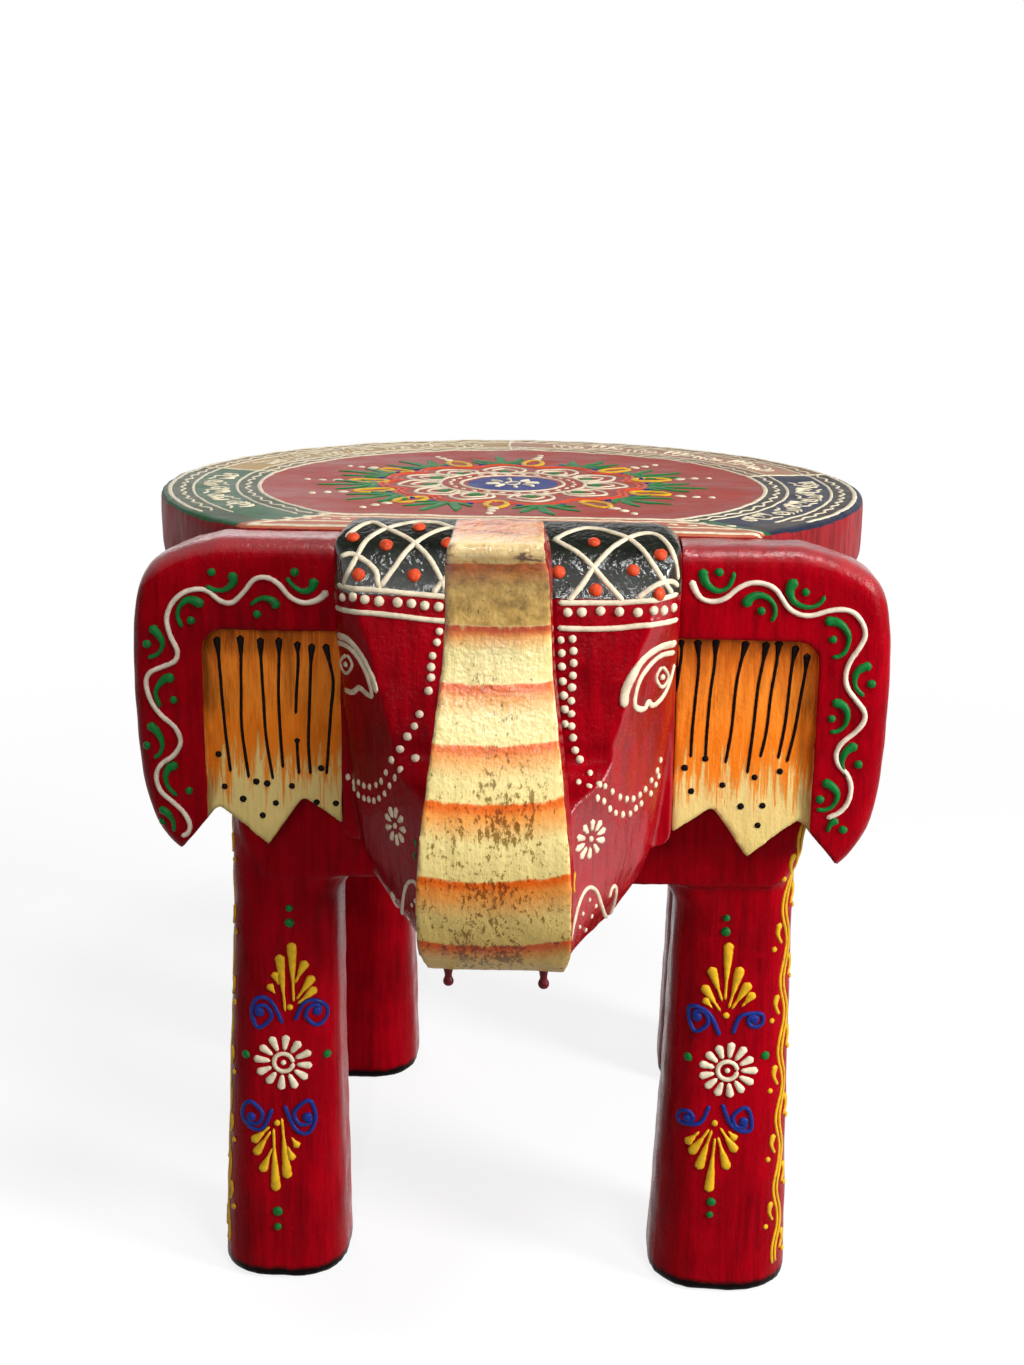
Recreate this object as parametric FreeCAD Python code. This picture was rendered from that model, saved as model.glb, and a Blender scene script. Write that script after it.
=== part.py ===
import FreeCAD, Part
import math
import os

V = FreeCAD.Vector

# Carved wooden elephant stool, in millimetres. The face looks toward -Y and the floor is z = 0.
# Every piece is made about the seat's centre, and moved last so that the origin is the bottom
# centre of the whole stool. "line" is the carved animal's own centre plane.

# Seat
seat_height = 250.0
seat_radius = 118.0
seat_thickness = 22.0
seat_top_round = 1.6
seat_under_round = 5.0
line = 4.0
# The straight front edge, that the head and the ears stand on, as a share of the radius
front_plane_share = 0.771

# Body block
belly_height = 140.0
body_front_corner = 7.0
body_rear_corner = 34.0
body_skew_share = 0.13
# Up the body from the belly to the seat: height, then half width and reach to the rear as
# shares of the seat's radius
body_shares = [
    (0.0, 0.703, 0.72),
    (0.114, 0.739, 0.771),
    (0.511, 0.746, 0.788),
    (0.75, 0.725, 0.775),
    (1.0, 0.653, 0.729),
]

# Legs
leg_joint_drop = 12.0
leg_mid_height_share = 0.547
leg_line_share = 0.593
leg_front_share = 0.606
leg_rear_share = 0.593
leg_top_half = 17.8
leg_mid_half = 19.2
leg_foot_half = 22.0
# Each leg is carved by hand: its side, then shares of the foot's half width for its shift to the
# right, its shift to the rear and its splay at the foot, then its share of the usual thickness
leg_shares = {
    "front_left_leg": (-1, -0.03, -0.07, 0.12, 0.94),
    "front_right_leg": (1, 0.03, 0.07, -0.04, 1.04),
    "rear_left_leg": (-1, 0.26, 0.0, 0.05, 1.0),
    "rear_right_leg": (1, 0.26, 0.0, 0.05, 1.0),
}
leg_foot_chamfer = 1.6
leg_corner_share = 0.62
leg_foot_corner_share = 0.78
haunch_top_share = 0.74
haunch_flare = 14.0
haunch_inset = 26.0
# Shares up the haunch: height, flare toward the belly, and how far the outer faces draw in
haunch_shares = [
    (0.0, 0.0, 0.0),
    (0.06, 0.07, 0.0),
    (0.14, 0.35, 0.0),
    (0.28, 0.85, 0.0),
    (0.5, 1.2, 0.03),
    (0.72, 1.4, 0.16),
    (0.88, 1.4, 0.48),
    (1.0, 1.4, 1.0),
]
tenon_radius = 12.0
tenon_length = 36.0
tenon_clearance = 0.25

# Head block, which stands a little over the seat and hangs a little under the belly
head_half_width = 49.0
head_rise = 5.5
head_top_side_round = 8.0
chin_drop = 2.5
chin_round = 5.0
snout_out = 59.0
snout_low_rise = 8.5
ledge_round = 5.0
facet_past = 10.0
facet_edge_round = 7.0
# Shares of the way from the front plane to the snout
cap_flat_share = 0.271
cap_front_share = 0.678
ledge_inner_share = 0.737
# Shares of the way up from the chin to the head's top
neck_height_share = 0.174
ledge_height_share = 0.424
cap_low_share = 0.792
# Shares of the way from the cap's flat top to its low front edge: forward, then down
cap_shares = [(0.0, 0.0), (0.667, 0.24), (1.0, 1.0)]
# Forward and up from the ledge's two ends, in shares of its round
ledge_inner_shares = [(0.0, 2.0), (0.3, 0.5), (1.0, 0.0)]
ledge_outer_shares = [(-0.5, -0.6), (0.0, -1.6)]
# Forward from the body and up from the chin, in shares of the snout's reach and of the chin's round
chin_shares = [(0.96, 0.5), (0.42, 0.0), (0.0, 1.0)]
# Up the head: the cheek's side and the end of its facet, in shares of the head's half width, and
# the facet's start, as a share of the way from the front plane to the snout. Under the cap the
# facet grows downward from the cap's full corner
cheek_shares = [
    (0.0, 0.5, 0.3, 0.356),
    (0.045, 0.68, 0.3, 0.356),
    (0.12, 0.815, 0.29, 0.356),
    (0.185, 0.88, 0.28, 0.356),
    (0.33, 0.93, 0.25, 0.356),
    (0.5, 0.965, 0.22, 0.37),
    (0.64, 0.99, 0.32, 0.4),
    (0.77, 1.0, 0.2, 0.53),
    (1.0, 1.0, 0.2, 0.53),
]

# Ears
ear_thickness = 16.0
ear_drop = 1.0
ear_tip_rise = 12.5
ear_span_share = 0.94
ear_low_edge_round = 1.2
ear_edge_round_share = 0.062
panel_depth = 4.2
panel_low_depth = 0.9
panel_corner = 6.0
# The panel's outer edge and top, in the shares of the ear's curve
panel_outer_share = 0.649
panel_top_share = 0.715
# Outer curve of the ear: shares of the way from the head outward, and from tip to top
ear_curve_shares = [
    (0.56, 1.0),
    (0.77, 0.96),
    (0.915, 0.9),
    (0.984, 0.775),
    (1.0, 0.66),
    (1.0, 0.46),
    (0.985, 0.29),
    (0.945, 0.14),
    (0.8, 0.0),
]
# The sawn zigzag below, in the same shares, from the outer tip back to the head
ear_zigzag_shares = [(0.605, 0.152), (0.36, 0.03), (0.19, 0.185), (0.0, 0.1)]

# Trunk plank, which stands out from the snout and rises over the head
trunk_out = 28.0
trunk_low_rise = 4.5
trunk_crown_rise = 9.5
trunk_lip_face = 3.0
trunk_crown_depth = 18.0
trunk_half_width = 20.3
trunk_crease_half_width = 13.9
trunk_lip_half_width = 12.5
trunk_crown_half_width = 10.4
trunk_low_half_width = 18.6
trunk_low_corner = 6.0
trunk_tip_round = 6.0
trunk_back_sink = 1.0
trunk_back_bow = 1.0
# Shares of the way out from the snout
trunk_low_out_share = 0.464
trunk_belly_out_share = 0.964
trunk_crease_out_share = 0.589
# Shares of the way up from its low end to its crown
trunk_belly_share = 0.244
trunk_crease_share = 0.776
trunk_lip_share = 0.948
# Forward and up, in shares of the way from the low end to the belly, and from there to the crease
trunk_low_shares = [(0.0, 0.0), (0.67, 0.42), (1.0, 1.0)]
trunk_high_shares = [(0.4, 0.5), (1.0, 1.0)]
# Forward and up from the crease to the lip
trunk_curl_shares = [(0.0, 0.0), (0.28, 0.52), (1.0, 1.0)]

# Tail relief on the rump, whose ends are shares of the way up the body
tail_root_share = 0.898
tail_tip_share = 0.114
tail_root_radius = 7.0
tail_sway = 7.0
tail_sink = 1.2
# Down the tail: height, sway, thickness, and the rump's reach as a share of the seat's radius
tail_shares = [
    (1.0, 0.0, 1.0, 0.729),
    (0.72, 0.9, 0.66, 0.775),
    (0.42, -0.4, 0.66, 0.788),
    (0.2, -0.9, 1.0, 0.788),
    (0.0, -0.5, 0.17, 0.771),
]

# Dowels, pegs and drips
dowel_clearance = 0.2
dowel_end_chamfer = 0.8
seat_dowel_radius = 5.0
seat_dowel_length = 30.0
seat_dowel_rise = 12.0
# Across and back, as shares of the seat's radius
seat_dowel_shares = (0.441, 0.475)
head_dowel_radius = 5.0
head_dowel_length = 34.0
head_dowel_sink = 17.0
# Across the head's half width and up from the chin
head_dowel_shares = (0.51, 0.555)
ear_dowel_radius = 4.0
ear_dowel_length = 26.0
ear_dowel_sink = 18.0
# Across the ear, then up it for each dowel
ear_dowel_across_share = 0.235
ear_dowel_up_shares = [0.326, 0.637]
trunk_dowel_radius = 4.0
trunk_dowel_length = 28.0
trunk_dowel_sink = 16.0
# Up from the trunk's low end to the ledge
trunk_dowel_up_shares = [0.286, 0.681]
drip_length = 6.6
drip_neck_radius = 0.9
drip_bulb_radius = 1.7
drip_half_gap = 13.0
drip_inset = 4.0

overrun = 2.0
quarter_angle = 90.0


def between(start, end, share):
    return start + (end - start) * share


# Values worked out from the ones above
seat_under = seat_height - seat_thickness
front_plane = seat_radius * front_plane_share

leg_joint_height = belly_height - leg_joint_drop
leg_mid_height = leg_joint_height * leg_mid_height_share
leg_line = seat_radius * leg_line_share
leg_front_y = -seat_radius * leg_front_share
leg_rear_y = seat_radius * leg_rear_share
haunch_top = between(belly_height, seat_under, haunch_top_share)

head_top = seat_height + head_rise
chin_height = belly_height - chin_drop
neck_height = between(chin_height, head_top, neck_height_share)
ledge_height = between(chin_height, head_top, ledge_height_share)
cap_low_height = between(chin_height, head_top, cap_low_share)
snout_low_height = chin_height + snout_low_rise
snout_reach = front_plane + snout_out
facet_end_reach = snout_reach + facet_past
cap_flat_reach = between(front_plane, snout_reach, cap_flat_share)
cap_front_reach = between(front_plane, snout_reach, cap_front_share)
ledge_inner_reach = between(front_plane, snout_reach, ledge_inner_share)

ear_top = seat_height - ear_drop
ear_tip_height = belly_height + ear_tip_rise
ear_half_span = seat_radius * ear_span_share
ear_edge_round = (ear_top - ear_tip_height) * ear_edge_round_share
panel_outer = between(head_half_width, ear_half_span, panel_outer_share)
panel_top = between(ear_tip_height, ear_top, panel_top_share)

trunk_reach = snout_reach + trunk_out
trunk_low_reach = between(snout_reach, trunk_reach, trunk_low_out_share)
trunk_belly_reach = between(snout_reach, trunk_reach, trunk_belly_out_share)
trunk_crease_reach = between(snout_reach, trunk_reach, trunk_crease_out_share)
trunk_back_upper_reach = snout_reach - trunk_back_sink
trunk_low = chin_height + trunk_low_rise
trunk_crown_height = head_top + trunk_crown_rise
trunk_belly_height = between(trunk_low, trunk_crown_height, trunk_belly_share)
trunk_crease_height = between(trunk_low, trunk_crown_height, trunk_crease_share)
trunk_lip_height = between(trunk_low, trunk_crown_height, trunk_lip_share)

tail_root_height = between(belly_height, seat_under, tail_root_share)
tail_tip_height = between(belly_height, seat_under, tail_tip_share)

seat_shift = (trunk_reach - seat_radius) / 2
upward = V(0, 0, 1)
backward = V(0, 1, 0)


def wire_of(edges):
    return Part.Wire(Part.__sortEdges__(edges))


def side_points(shares, start, end):
    # Points of a side view, where start and end are each a reach forward from the seat's centre
    # and a height
    points = []
    for forward_share, up_share in shares:
        y = -between(start[0], end[0], forward_share)
        points.append(V(0, y, between(start[1], end[1], up_share)))
    return points


def segment(a, b):
    return Part.makeLine(a, b)


def soft_corner(before, corner, after, reach):
    # Two straight stretches' ends and the curve that joins them round the corner
    first = corner + (before - corner).normalize() * reach
    last = corner + (after - corner).normalize() * reach
    bend = Part.BezierCurve()
    bend.setPoles([first, corner, last])
    return first, last, bend.toShape()


def curve(points):
    spline = Part.BSplineCurve()
    spline.interpolate(points)
    return spline.toShape()


def arc(a, b, c):
    return Part.Arc(a, b, c).toShape()


def box_between(low, high):
    size = high - low
    return Part.makeBox(size.x, size.y, size.z, low)


def mirrored(shape):
    return shape.mirror(V(line, 0, 0), V(1, 0, 0))


def round_corner(center, radius, quarter):
    # One of the four quarters of a level circle, counted from the right side
    def at(quarters):
        turn = math.radians(quarters * quarter_angle)
        return center + V(radius * math.cos(turn), radius * math.sin(turn), 0)
    return arc(at(quarter), at(quarter + 1 / 2), at(quarter + 1))


def level_section(left, right, front, rear, z, front_corner, rear_corner):
    # A level outline with straight sides and four round corners
    fc = front_corner
    rc = rear_corner
    edges = [
        segment(V(left + fc, front, z), V(right - fc, front, z)),
        round_corner(V(right - fc, front + fc, z), fc, 3),
        segment(V(right, front + fc, z), V(right, rear - rc, z)),
        round_corner(V(right - rc, rear - rc, z), rc, 0),
        segment(V(right - rc, rear, z), V(left + rc, rear, z)),
        round_corner(V(left + rc, rear - rc, z), rc, 1),
        segment(V(left, rear - rc, z), V(left, front + fc, z)),
        round_corner(V(left + fc, front + fc, z), fc, 2),
    ]
    return wire_of(edges)


def edges_where(shape, test):
    return [edge for edge in shape.Edges if test(edge)]


def peg(radius, length, start, along):
    # A round wooden dowel with chamfered ends
    rod = Part.makeCylinder(radius, length, start, along)
    rims = edges_where(rod, lambda edge: edge.Closed)
    return rod.makeChamfer(dowel_end_chamfer, rims)


def peg_hole(radius, length, start, along):
    return Part.makeCylinder(radius + dowel_clearance, length, start, along)


# Seat plank
def seat_dowel_places():
    across, back = [seat_radius * share for share in seat_dowel_shares]
    return [(x * across + line, y * back) for x in (-1, 1) for y in (-1, 1)]


def make_seat():
    disc = Part.makeCylinder(seat_radius, seat_thickness, V(0, 0, seat_under))
    ahead = box_between(
        V(-seat_radius - overrun, -seat_radius - overrun, seat_under - overrun),
        V(seat_radius + overrun, -front_plane, seat_height + overrun),
    )
    plank = disc.cut(ahead)
    top_rim = edges_where(plank, lambda edge: edge.BoundBox.ZMin > seat_height - seat_top_round)
    plank = plank.makeFillet(seat_top_round, top_rim)

    def is_round_under(edge):
        box = edge.BoundBox
        return box.ZMax < seat_under + seat_top_round and box.YMax > 0

    plank = plank.makeFillet(seat_under_round, edges_where(plank, is_round_under))
    for x, y in seat_dowel_places():
        start = V(x, y, seat_under - overrun)
        plank = plank.cut(peg_hole(seat_dowel_radius, seat_dowel_rise + overrun, start, upward))
    return plank


def make_seat_dowels():
    low = seat_under + seat_dowel_rise - seat_dowel_length
    pegs = [peg(seat_dowel_radius, seat_dowel_length, V(x, y, low), upward) for x, y in seat_dowel_places()]
    return Part.makeCompound(pegs)


# Legs and the haunches that they join
def leg_center(name):
    side, right_share, back_share, _, _ = leg_shares[name]
    y = leg_front_y if name.startswith("front") else leg_rear_y
    return V(line + side * leg_line + leg_foot_half * right_share, y + leg_foot_half * back_share, 0)


def leg_section(name, half, out_share, z, corner_share, flare=0, inset=0):
    # The flare widens the section toward the belly, and the inset draws its outer faces in
    side = leg_shares[name][0]
    center = leg_center(name)
    x = center.x + side * leg_foot_half * out_share
    y = center.y
    inner = x - side * (half + flare)
    outer = x + side * (half - inset)
    toward = 1 if y < 0 else -1
    near = y - toward * (half - inset)
    far = y + toward * (half + flare)
    corner = half * corner_share
    left, right = sorted([inner, outer])
    front, rear = sorted([near, far])
    return level_section(left, right, front, rear, z, corner, corner)


def make_leg(name):
    splay_share = leg_shares[name][3]
    thick_share = leg_shares[name][4]
    mid_splay_share = splay_share * (leg_joint_height - leg_mid_height) / leg_joint_height
    sections = [
        leg_section(name, leg_foot_half * thick_share, splay_share, 0, leg_foot_corner_share),
        leg_section(name, leg_mid_half * thick_share, mid_splay_share, leg_mid_height, leg_corner_share),
        leg_section(name, leg_top_half * thick_share, 0, leg_joint_height, leg_corner_share),
    ]
    leg = Part.makeLoft(sections, True, True)
    sole = edges_where(leg, lambda edge: edge.BoundBox.ZMax < leg_foot_chamfer)
    leg = leg.makeChamfer(leg_foot_chamfer, sole)
    foot = leg_center(name) + V(0, 0, leg_joint_height - overrun)
    tenon = Part.makeCylinder(tenon_radius, tenon_length + overrun, foot)
    leg = leg.fuse(tenon).removeSplitter()
    tenon_top = leg_joint_height + tenon_length
    rim = edges_where(leg, lambda edge: edge.Closed and edge.BoundBox.ZMin > tenon_top - overrun)
    return leg.makeChamfer(dowel_end_chamfer, rim)


def make_haunch(name):
    half = leg_top_half * leg_shares[name][4]
    sections = []
    for up_share, flare_share, inset_share in haunch_shares:
        z = between(leg_joint_height, haunch_top, up_share)
        flare = haunch_flare * flare_share
        inset = haunch_inset * inset_share
        sections.append(leg_section(name, half, 0, z, leg_corner_share, flare, inset))
    return Part.makeLoft(sections, True, False)


# Body block
def body_section(half_width, reach, z):
    middle = line + leg_foot_half * body_skew_share
    left = middle - half_width
    right = middle + half_width
    return level_section(left, right, -front_plane, reach, z, body_front_corner, body_rear_corner)


def make_tail():
    # A tapered relief that follows the rump down to a small tuft
    rings = []
    for high_share, sway_share, thick_share, rump_share in tail_shares:
        z = between(tail_tip_height, tail_root_height, high_share)
        center = V(line + tail_sway * sway_share, seat_radius * rump_share - tail_sink, z)
        rings.append(Part.Wire(Part.makeCircle(tail_root_radius * thick_share, center)))
    return Part.makeLoft(rings, True, False)


def make_body():
    sections = []
    for up_share, width_share, reach_share in body_shares:
        z = between(belly_height, seat_under, up_share)
        sections.append(body_section(seat_radius * width_share, seat_radius * reach_share, z))
    block = Part.makeLoft(sections, True, False)
    block = block.multiFuse([make_haunch(name) for name in leg_shares] + [make_tail()])
    ahead = box_between(
        V(-seat_radius, -front_plane - seat_radius, 0),
        V(seat_radius, -front_plane, seat_height),
    )
    above = box_between(
        V(-seat_radius, -seat_radius, seat_under),
        V(seat_radius, seat_radius, seat_height),
    )
    block = block.cut(ahead).cut(above)
    for name in leg_shares:
        mouth = leg_center(name) + V(0, 0, leg_joint_height - overrun)
        depth = tenon_length + tenon_clearance + overrun
        mortise = Part.makeCylinder(tenon_radius + tenon_clearance, depth, mouth)
        block = block.cut(mortise)
    for cutter in seat_peg_cutters() + head_peg_cutters() + ear_peg_cutters():
        block = block.cut(cutter)
    return block.removeSplitter()


def seat_peg_cutters():
    depth = seat_dowel_length - seat_dowel_rise
    cutters = []
    for x, y in seat_dowel_places():
        start = V(x, y, seat_under - depth)
        cutters.append(peg_hole(seat_dowel_radius, depth + overrun, start, upward))
    return cutters


# Head block
def head_profile():
    # The side view, sawn straight across the block
    cap = side_points(cap_shares, (cap_flat_reach, head_top), (cap_front_reach, cap_low_height))
    ledge_over = ledge_height + ledge_round
    inner_end = (ledge_inner_reach + ledge_round, ledge_over)
    outer_end = (snout_reach + ledge_round, ledge_over)
    inner = side_points(ledge_inner_shares, (ledge_inner_reach, ledge_height), inner_end)
    outer = side_points(ledge_outer_shares, (snout_reach, ledge_height), outer_end)
    chin = side_points(chin_shares, (front_plane, chin_height), (snout_reach, chin_height + chin_round))
    low_front = V(0, -snout_reach, snout_low_height)
    top_back = V(0, -front_plane, head_top)
    edges = [
        segment(chin[-1], top_back),
        segment(top_back, cap[0]),
        curve(cap),
        segment(cap[-1], inner[0]),
        curve(inner + outer),
        segment(outer[-1], low_front),
        curve([low_front] + chin),
    ]
    return wire_of(edges)


def make_head_bulk():
    slab = Part.Face(head_profile())
    slab.translate(V(line - head_half_width, 0, 0))
    return slab.extrude(V(head_half_width * 2, 0, 0))


def head_plan(half_width, end_half_width, start_reach, z):
    # Level outline of the cheeks: straight sides, then a facet on each side toward the snout
    def side_points_of(side):
        back = V(line + side * half_width, -front_plane + overrun, z)
        cheek = V(line + side * half_width, -start_reach, z)
        end = V(line + side * end_half_width, -facet_end_reach, z)
        return back, cheek, end

    right_back, right_cheek, right_end = side_points_of(1)
    left_back, left_cheek, left_end = side_points_of(-1)
    right_first, right_last, right_bend = soft_corner(right_back, right_cheek, right_end, facet_edge_round)
    left_first, left_last, left_bend = soft_corner(left_back, left_cheek, left_end, facet_edge_round)
    edges = [
        segment(right_back, right_first),
        right_bend,
        segment(right_last, right_end),
        segment(right_end, left_end),
        segment(left_end, left_last),
        left_bend,
        segment(left_first, left_back),
        segment(left_back, right_back),
    ]
    return wire_of(edges)


def make_cheeks():
    rings = []
    for up_share, side_share, end_share, start_share in cheek_shares:
        z = between(chin_height - overrun, head_top + overrun, up_share)
        start_reach = between(front_plane, snout_reach, start_share)
        rings.append(head_plan(head_half_width * side_share, head_half_width * end_share, start_reach, z))
    return Part.makeLoft(rings, True, True)


def make_neck():
    # The straight part between the ears, that their inner edges bear on
    neck = box_between(
        V(line - head_half_width, -front_plane - ear_thickness, neck_height),
        V(line + head_half_width, -front_plane + overrun, head_top),
    )

    def is_low_side(edge):
        box = edge.BoundBox
        return box.ZMax < neck_height + overrun and box.XLength < overrun

    return neck.makeFillet(ledge_round, edges_where(neck, is_low_side))


def rounded_front():
    # The front view outline, with the cap's two top corners rounded
    r = head_top_side_round
    left = line - head_half_width
    right = line + head_half_width
    low = chin_height - overrun
    turn = r * math.cos(math.radians(quarter_angle / 2))
    side_top = head_top - r
    right_middle = V(right - r + turn, 0, side_top + turn)
    left_middle = V(left + r - turn, 0, side_top + turn)
    edges = [
        segment(V(left, 0, low), V(right, 0, low)),
        segment(V(right, 0, low), V(right, 0, side_top)),
        arc(V(right, 0, side_top), right_middle, V(right - r, 0, head_top)),
        segment(V(right - r, 0, head_top), V(left + r, 0, head_top)),
        arc(V(left + r, 0, head_top), left_middle, V(left, 0, side_top)),
        segment(V(left, 0, side_top), V(left, 0, low)),
    ]
    face = Part.Face(wire_of(edges))
    face.translate(V(0, -facet_end_reach - overrun, 0))
    return face.extrude(V(0, facet_end_reach + overrun, 0))


def make_head():
    form = make_cheeks().fuse(make_neck())
    head = make_head_bulk().common(form).common(rounded_front())
    for cutter in head_peg_cutters() + trunk_peg_cutters():
        head = head.cut(cutter)
    return head.removeSplitter()


def head_peg_starts():
    across_share, up_share = head_dowel_shares
    y = -front_plane - head_dowel_length + head_dowel_sink
    z = between(chin_height, head_top, up_share)
    return [V(line + side * head_half_width * across_share, y, z) for side in (-1, 1)]


def head_peg_cutters():
    return [peg_hole(head_dowel_radius, head_dowel_length, start, backward) for start in head_peg_starts()]


def make_head_dowels():
    pegs = [peg(head_dowel_radius, head_dowel_length, start, backward) for start in head_peg_starts()]
    return Part.makeCompound(pegs)


# Ears
def ear_point(across_share, up_share, y):
    x = line + between(head_half_width, ear_half_span, across_share)
    return V(x, y, between(ear_tip_height, ear_top, up_share))


def ear_blank():
    y = -front_plane
    outer = [ear_point(a, b, y) for a, b in ear_curve_shares]
    low = [outer[-1]] + [ear_point(a, b, y) for a, b in ear_zigzag_shares]
    top = ear_point(0, 1, y)
    edges = [segment(top, outer[0]), curve(outer)]
    edges += [segment(a, b) for a, b in zip(low[:-1], low[1:])]
    edges.append(segment(low[-1], top))
    return Part.Face(wire_of(edges)).extrude(V(0, -ear_thickness, 0))


def ear_recess():
    # A wedge that is deep at the panel's top and runs out toward the sawn tips
    front = -front_plane - ear_thickness
    left = line + head_half_width - overrun
    right = line + panel_outer
    low = ear_tip_height - overrun
    side_view = [
        V(left, front - overrun, panel_top),
        V(left, front + panel_depth, panel_top),
        V(left, front + panel_low_depth, low),
        V(left, front - overrun, low),
    ]
    wedge = Part.Face(Part.makePolygon(side_view + side_view[:1])).extrude(V(right - left, 0, 0))

    def is_outer_top(edge):
        box = edge.BoundBox
        return box.XMin > right - overrun and box.ZMin > panel_top - overrun

    return wedge.makeFillet(panel_corner, edges_where(wedge, is_outer_top))


def make_right_ear():
    ear = ear_blank()
    front = -front_plane - ear_thickness
    side_plane = line + head_half_width

    def is_front(edge):
        return edge.BoundBox.YMax < front + ear_low_edge_round and edge.BoundBox.XMax > side_plane + overrun

    def is_smooth(edge):
        # The top and the outer curve, but not the straight sawn zigzag
        straight = edge.Curve.TypeId == "Part::GeomLine"
        return is_front(edge) and (not straight or edge.BoundBox.ZMin > ear_top - overrun)

    ear = ear.makeFillet(ear_edge_round, edges_where(ear, is_smooth))
    ear = ear.cut(ear_recess())
    for cutter in right_ear_peg_cutters():
        ear = ear.cut(cutter)
    return ear


def right_ear_peg_starts():
    y = -front_plane - ear_dowel_length + ear_dowel_sink
    return [ear_point(ear_dowel_across_share, up_share, y) for up_share in ear_dowel_up_shares]


def right_ear_peg_cutters():
    return [peg_hole(ear_dowel_radius, ear_dowel_length, start, backward) for start in right_ear_peg_starts()]


def ear_peg_cutters():
    right = right_ear_peg_cutters()
    return right + [mirrored(cutter) for cutter in right]


def make_ear_dowels():
    pegs = [peg(ear_dowel_radius, ear_dowel_length, start, backward) for start in right_ear_peg_starts()]
    return Part.makeCompound(pegs + [mirrored(one) for one in pegs])


# Trunk
def trunk_profile():
    # The side view: convex below, hollow under the curled tip, with a narrow lip
    belly = (trunk_belly_reach, trunk_belly_height)
    crease = (trunk_crease_reach, trunk_crease_height)
    low_end = (trunk_low_reach, trunk_low)
    lip = (trunk_reach, trunk_lip_height)
    front = side_points(trunk_low_shares, low_end, belly) + side_points(trunk_high_shares, belly, crease)
    curl = side_points(trunk_curl_shares, crease, lip)
    lip_top = curl[-1] + V(0, 0, trunk_lip_face)
    crown = V(0, -trunk_reach + trunk_crown_depth, trunk_crown_height)
    tip_back = V(0, -trunk_back_upper_reach - trunk_tip_round / 2, trunk_crown_height - trunk_tip_round)
    back_high = V(0, -trunk_back_upper_reach, trunk_crease_height)
    seat_high = V(0, -snout_reach, ledge_height - ledge_round)
    seat_low = V(0, -snout_reach, trunk_low)
    back_mid = (back_high + seat_high) / 2 - V(0, trunk_back_bow, 0)
    edges = [
        curve(front),
        curve(curl),
        segment(curl[-1], lip_top),
        segment(lip_top, crown),
        curve([crown, tip_back, back_high]),
        curve([back_high, back_mid, seat_high]),
        segment(seat_high, seat_low),
        segment(seat_low, front[0]),
    ]
    return wire_of(edges)


def trunk_front_outline():
    # The front view: broad below and tapering to the tip
    belly = V(trunk_half_width, 0, trunk_belly_height)
    crease = V(trunk_crease_half_width, 0, trunk_crease_height)
    right = [
        V(trunk_low_half_width, 0, trunk_low),
        V(trunk_half_width, 0, trunk_low + trunk_low_corner),
        belly,
        (belly + crease) / 2,
        crease,
        V(trunk_lip_half_width, 0, trunk_lip_height),
        V(trunk_crown_half_width, 0, trunk_crown_height + overrun),
    ]
    left = [V(-point.x, 0, point.z) for point in right]
    edges = [
        segment(left[0], right[0]),
        segment(right[0], right[1]),
        curve(right[1:]),
        segment(right[-1], left[-1]),
        curve(left[1:]),
        segment(left[1], left[0]),
    ]
    return wire_of(edges)


def make_trunk():
    plank = Part.Face(trunk_profile())
    plank.translate(V(line - trunk_half_width - overrun, 0, 0))
    plank = plank.extrude(V((trunk_half_width + overrun) * 2, 0, 0))
    outline = Part.Face(trunk_front_outline())
    outline.translate(V(line, -trunk_reach - overrun, 0))
    outline = outline.extrude(V(0, trunk_reach - front_plane, 0))
    trunk = plank.common(outline)
    for cutter in trunk_peg_cutters():
        trunk = trunk.cut(cutter)
    return trunk


def trunk_peg_starts():
    y = -snout_reach - trunk_dowel_length + trunk_dowel_sink
    return [V(line, y, between(trunk_low, ledge_height, up_share)) for up_share in trunk_dowel_up_shares]


def trunk_peg_cutters():
    return [peg_hole(trunk_dowel_radius, trunk_dowel_length, start, backward) for start in trunk_peg_starts()]


def make_trunk_dowels():
    pegs = [peg(trunk_dowel_radius, trunk_dowel_length, start, backward) for start in trunk_peg_starts()]
    return Part.makeCompound(pegs)


def make_drips():
    # Two hardened runs of dip paint under the trunk's lower end, each a short cone and a round bead
    bead_z = trunk_low - drip_length + drip_bulb_radius
    bead = Part.makeSphere(drip_bulb_radius, V(0, 0, bead_z))
    neck = Part.makeCone(drip_neck_radius, drip_bulb_radius, trunk_low - bead_z, V(0, 0, bead_z))
    drip = bead.fuse(neck)
    pair = []
    for side in (-1, 1):
        one = drip.copy()
        one.translate(V(line + side * drip_half_gap, -trunk_low_reach + drip_inset, 0))
        pair.append(one)
    return Part.makeCompound(pair)


def make_pieces():
    right_ear = make_right_ear()
    pieces = {
        "seat_top": make_seat(),
        "seat_dowels": make_seat_dowels(),
        "body_block": make_body(),
        "head_block": make_head(),
        "head_dowels": make_head_dowels(),
        "right_ear": right_ear,
        "left_ear": mirrored(right_ear),
        "ear_dowels": make_ear_dowels(),
        "trunk": make_trunk(),
        "trunk_dowels": make_trunk_dowels(),
        "trunk_drips": make_drips(),
    }
    for name in leg_shares:
        pieces[name] = make_leg(name)
    return pieces


def main():
    os.makedirs("parts", exist_ok=True)
    for name, shape in make_pieces().items():
        placed = shape.copy()
        placed.translate(V(0, seat_shift, 0))
        if not placed.isValid():
            raise ValueError(name + " isn't a valid solid")
        placed.exportStep("parts/" + name + ".step")
        box = placed.BoundBox
        sizes = [box.XMin, box.XMax, box.YMin, box.YMax, box.ZMin, box.ZMax]
        print(name, len(placed.Solids), "solids", [round(value, 2) for value in sizes])


main()
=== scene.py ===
import math
import random

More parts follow.
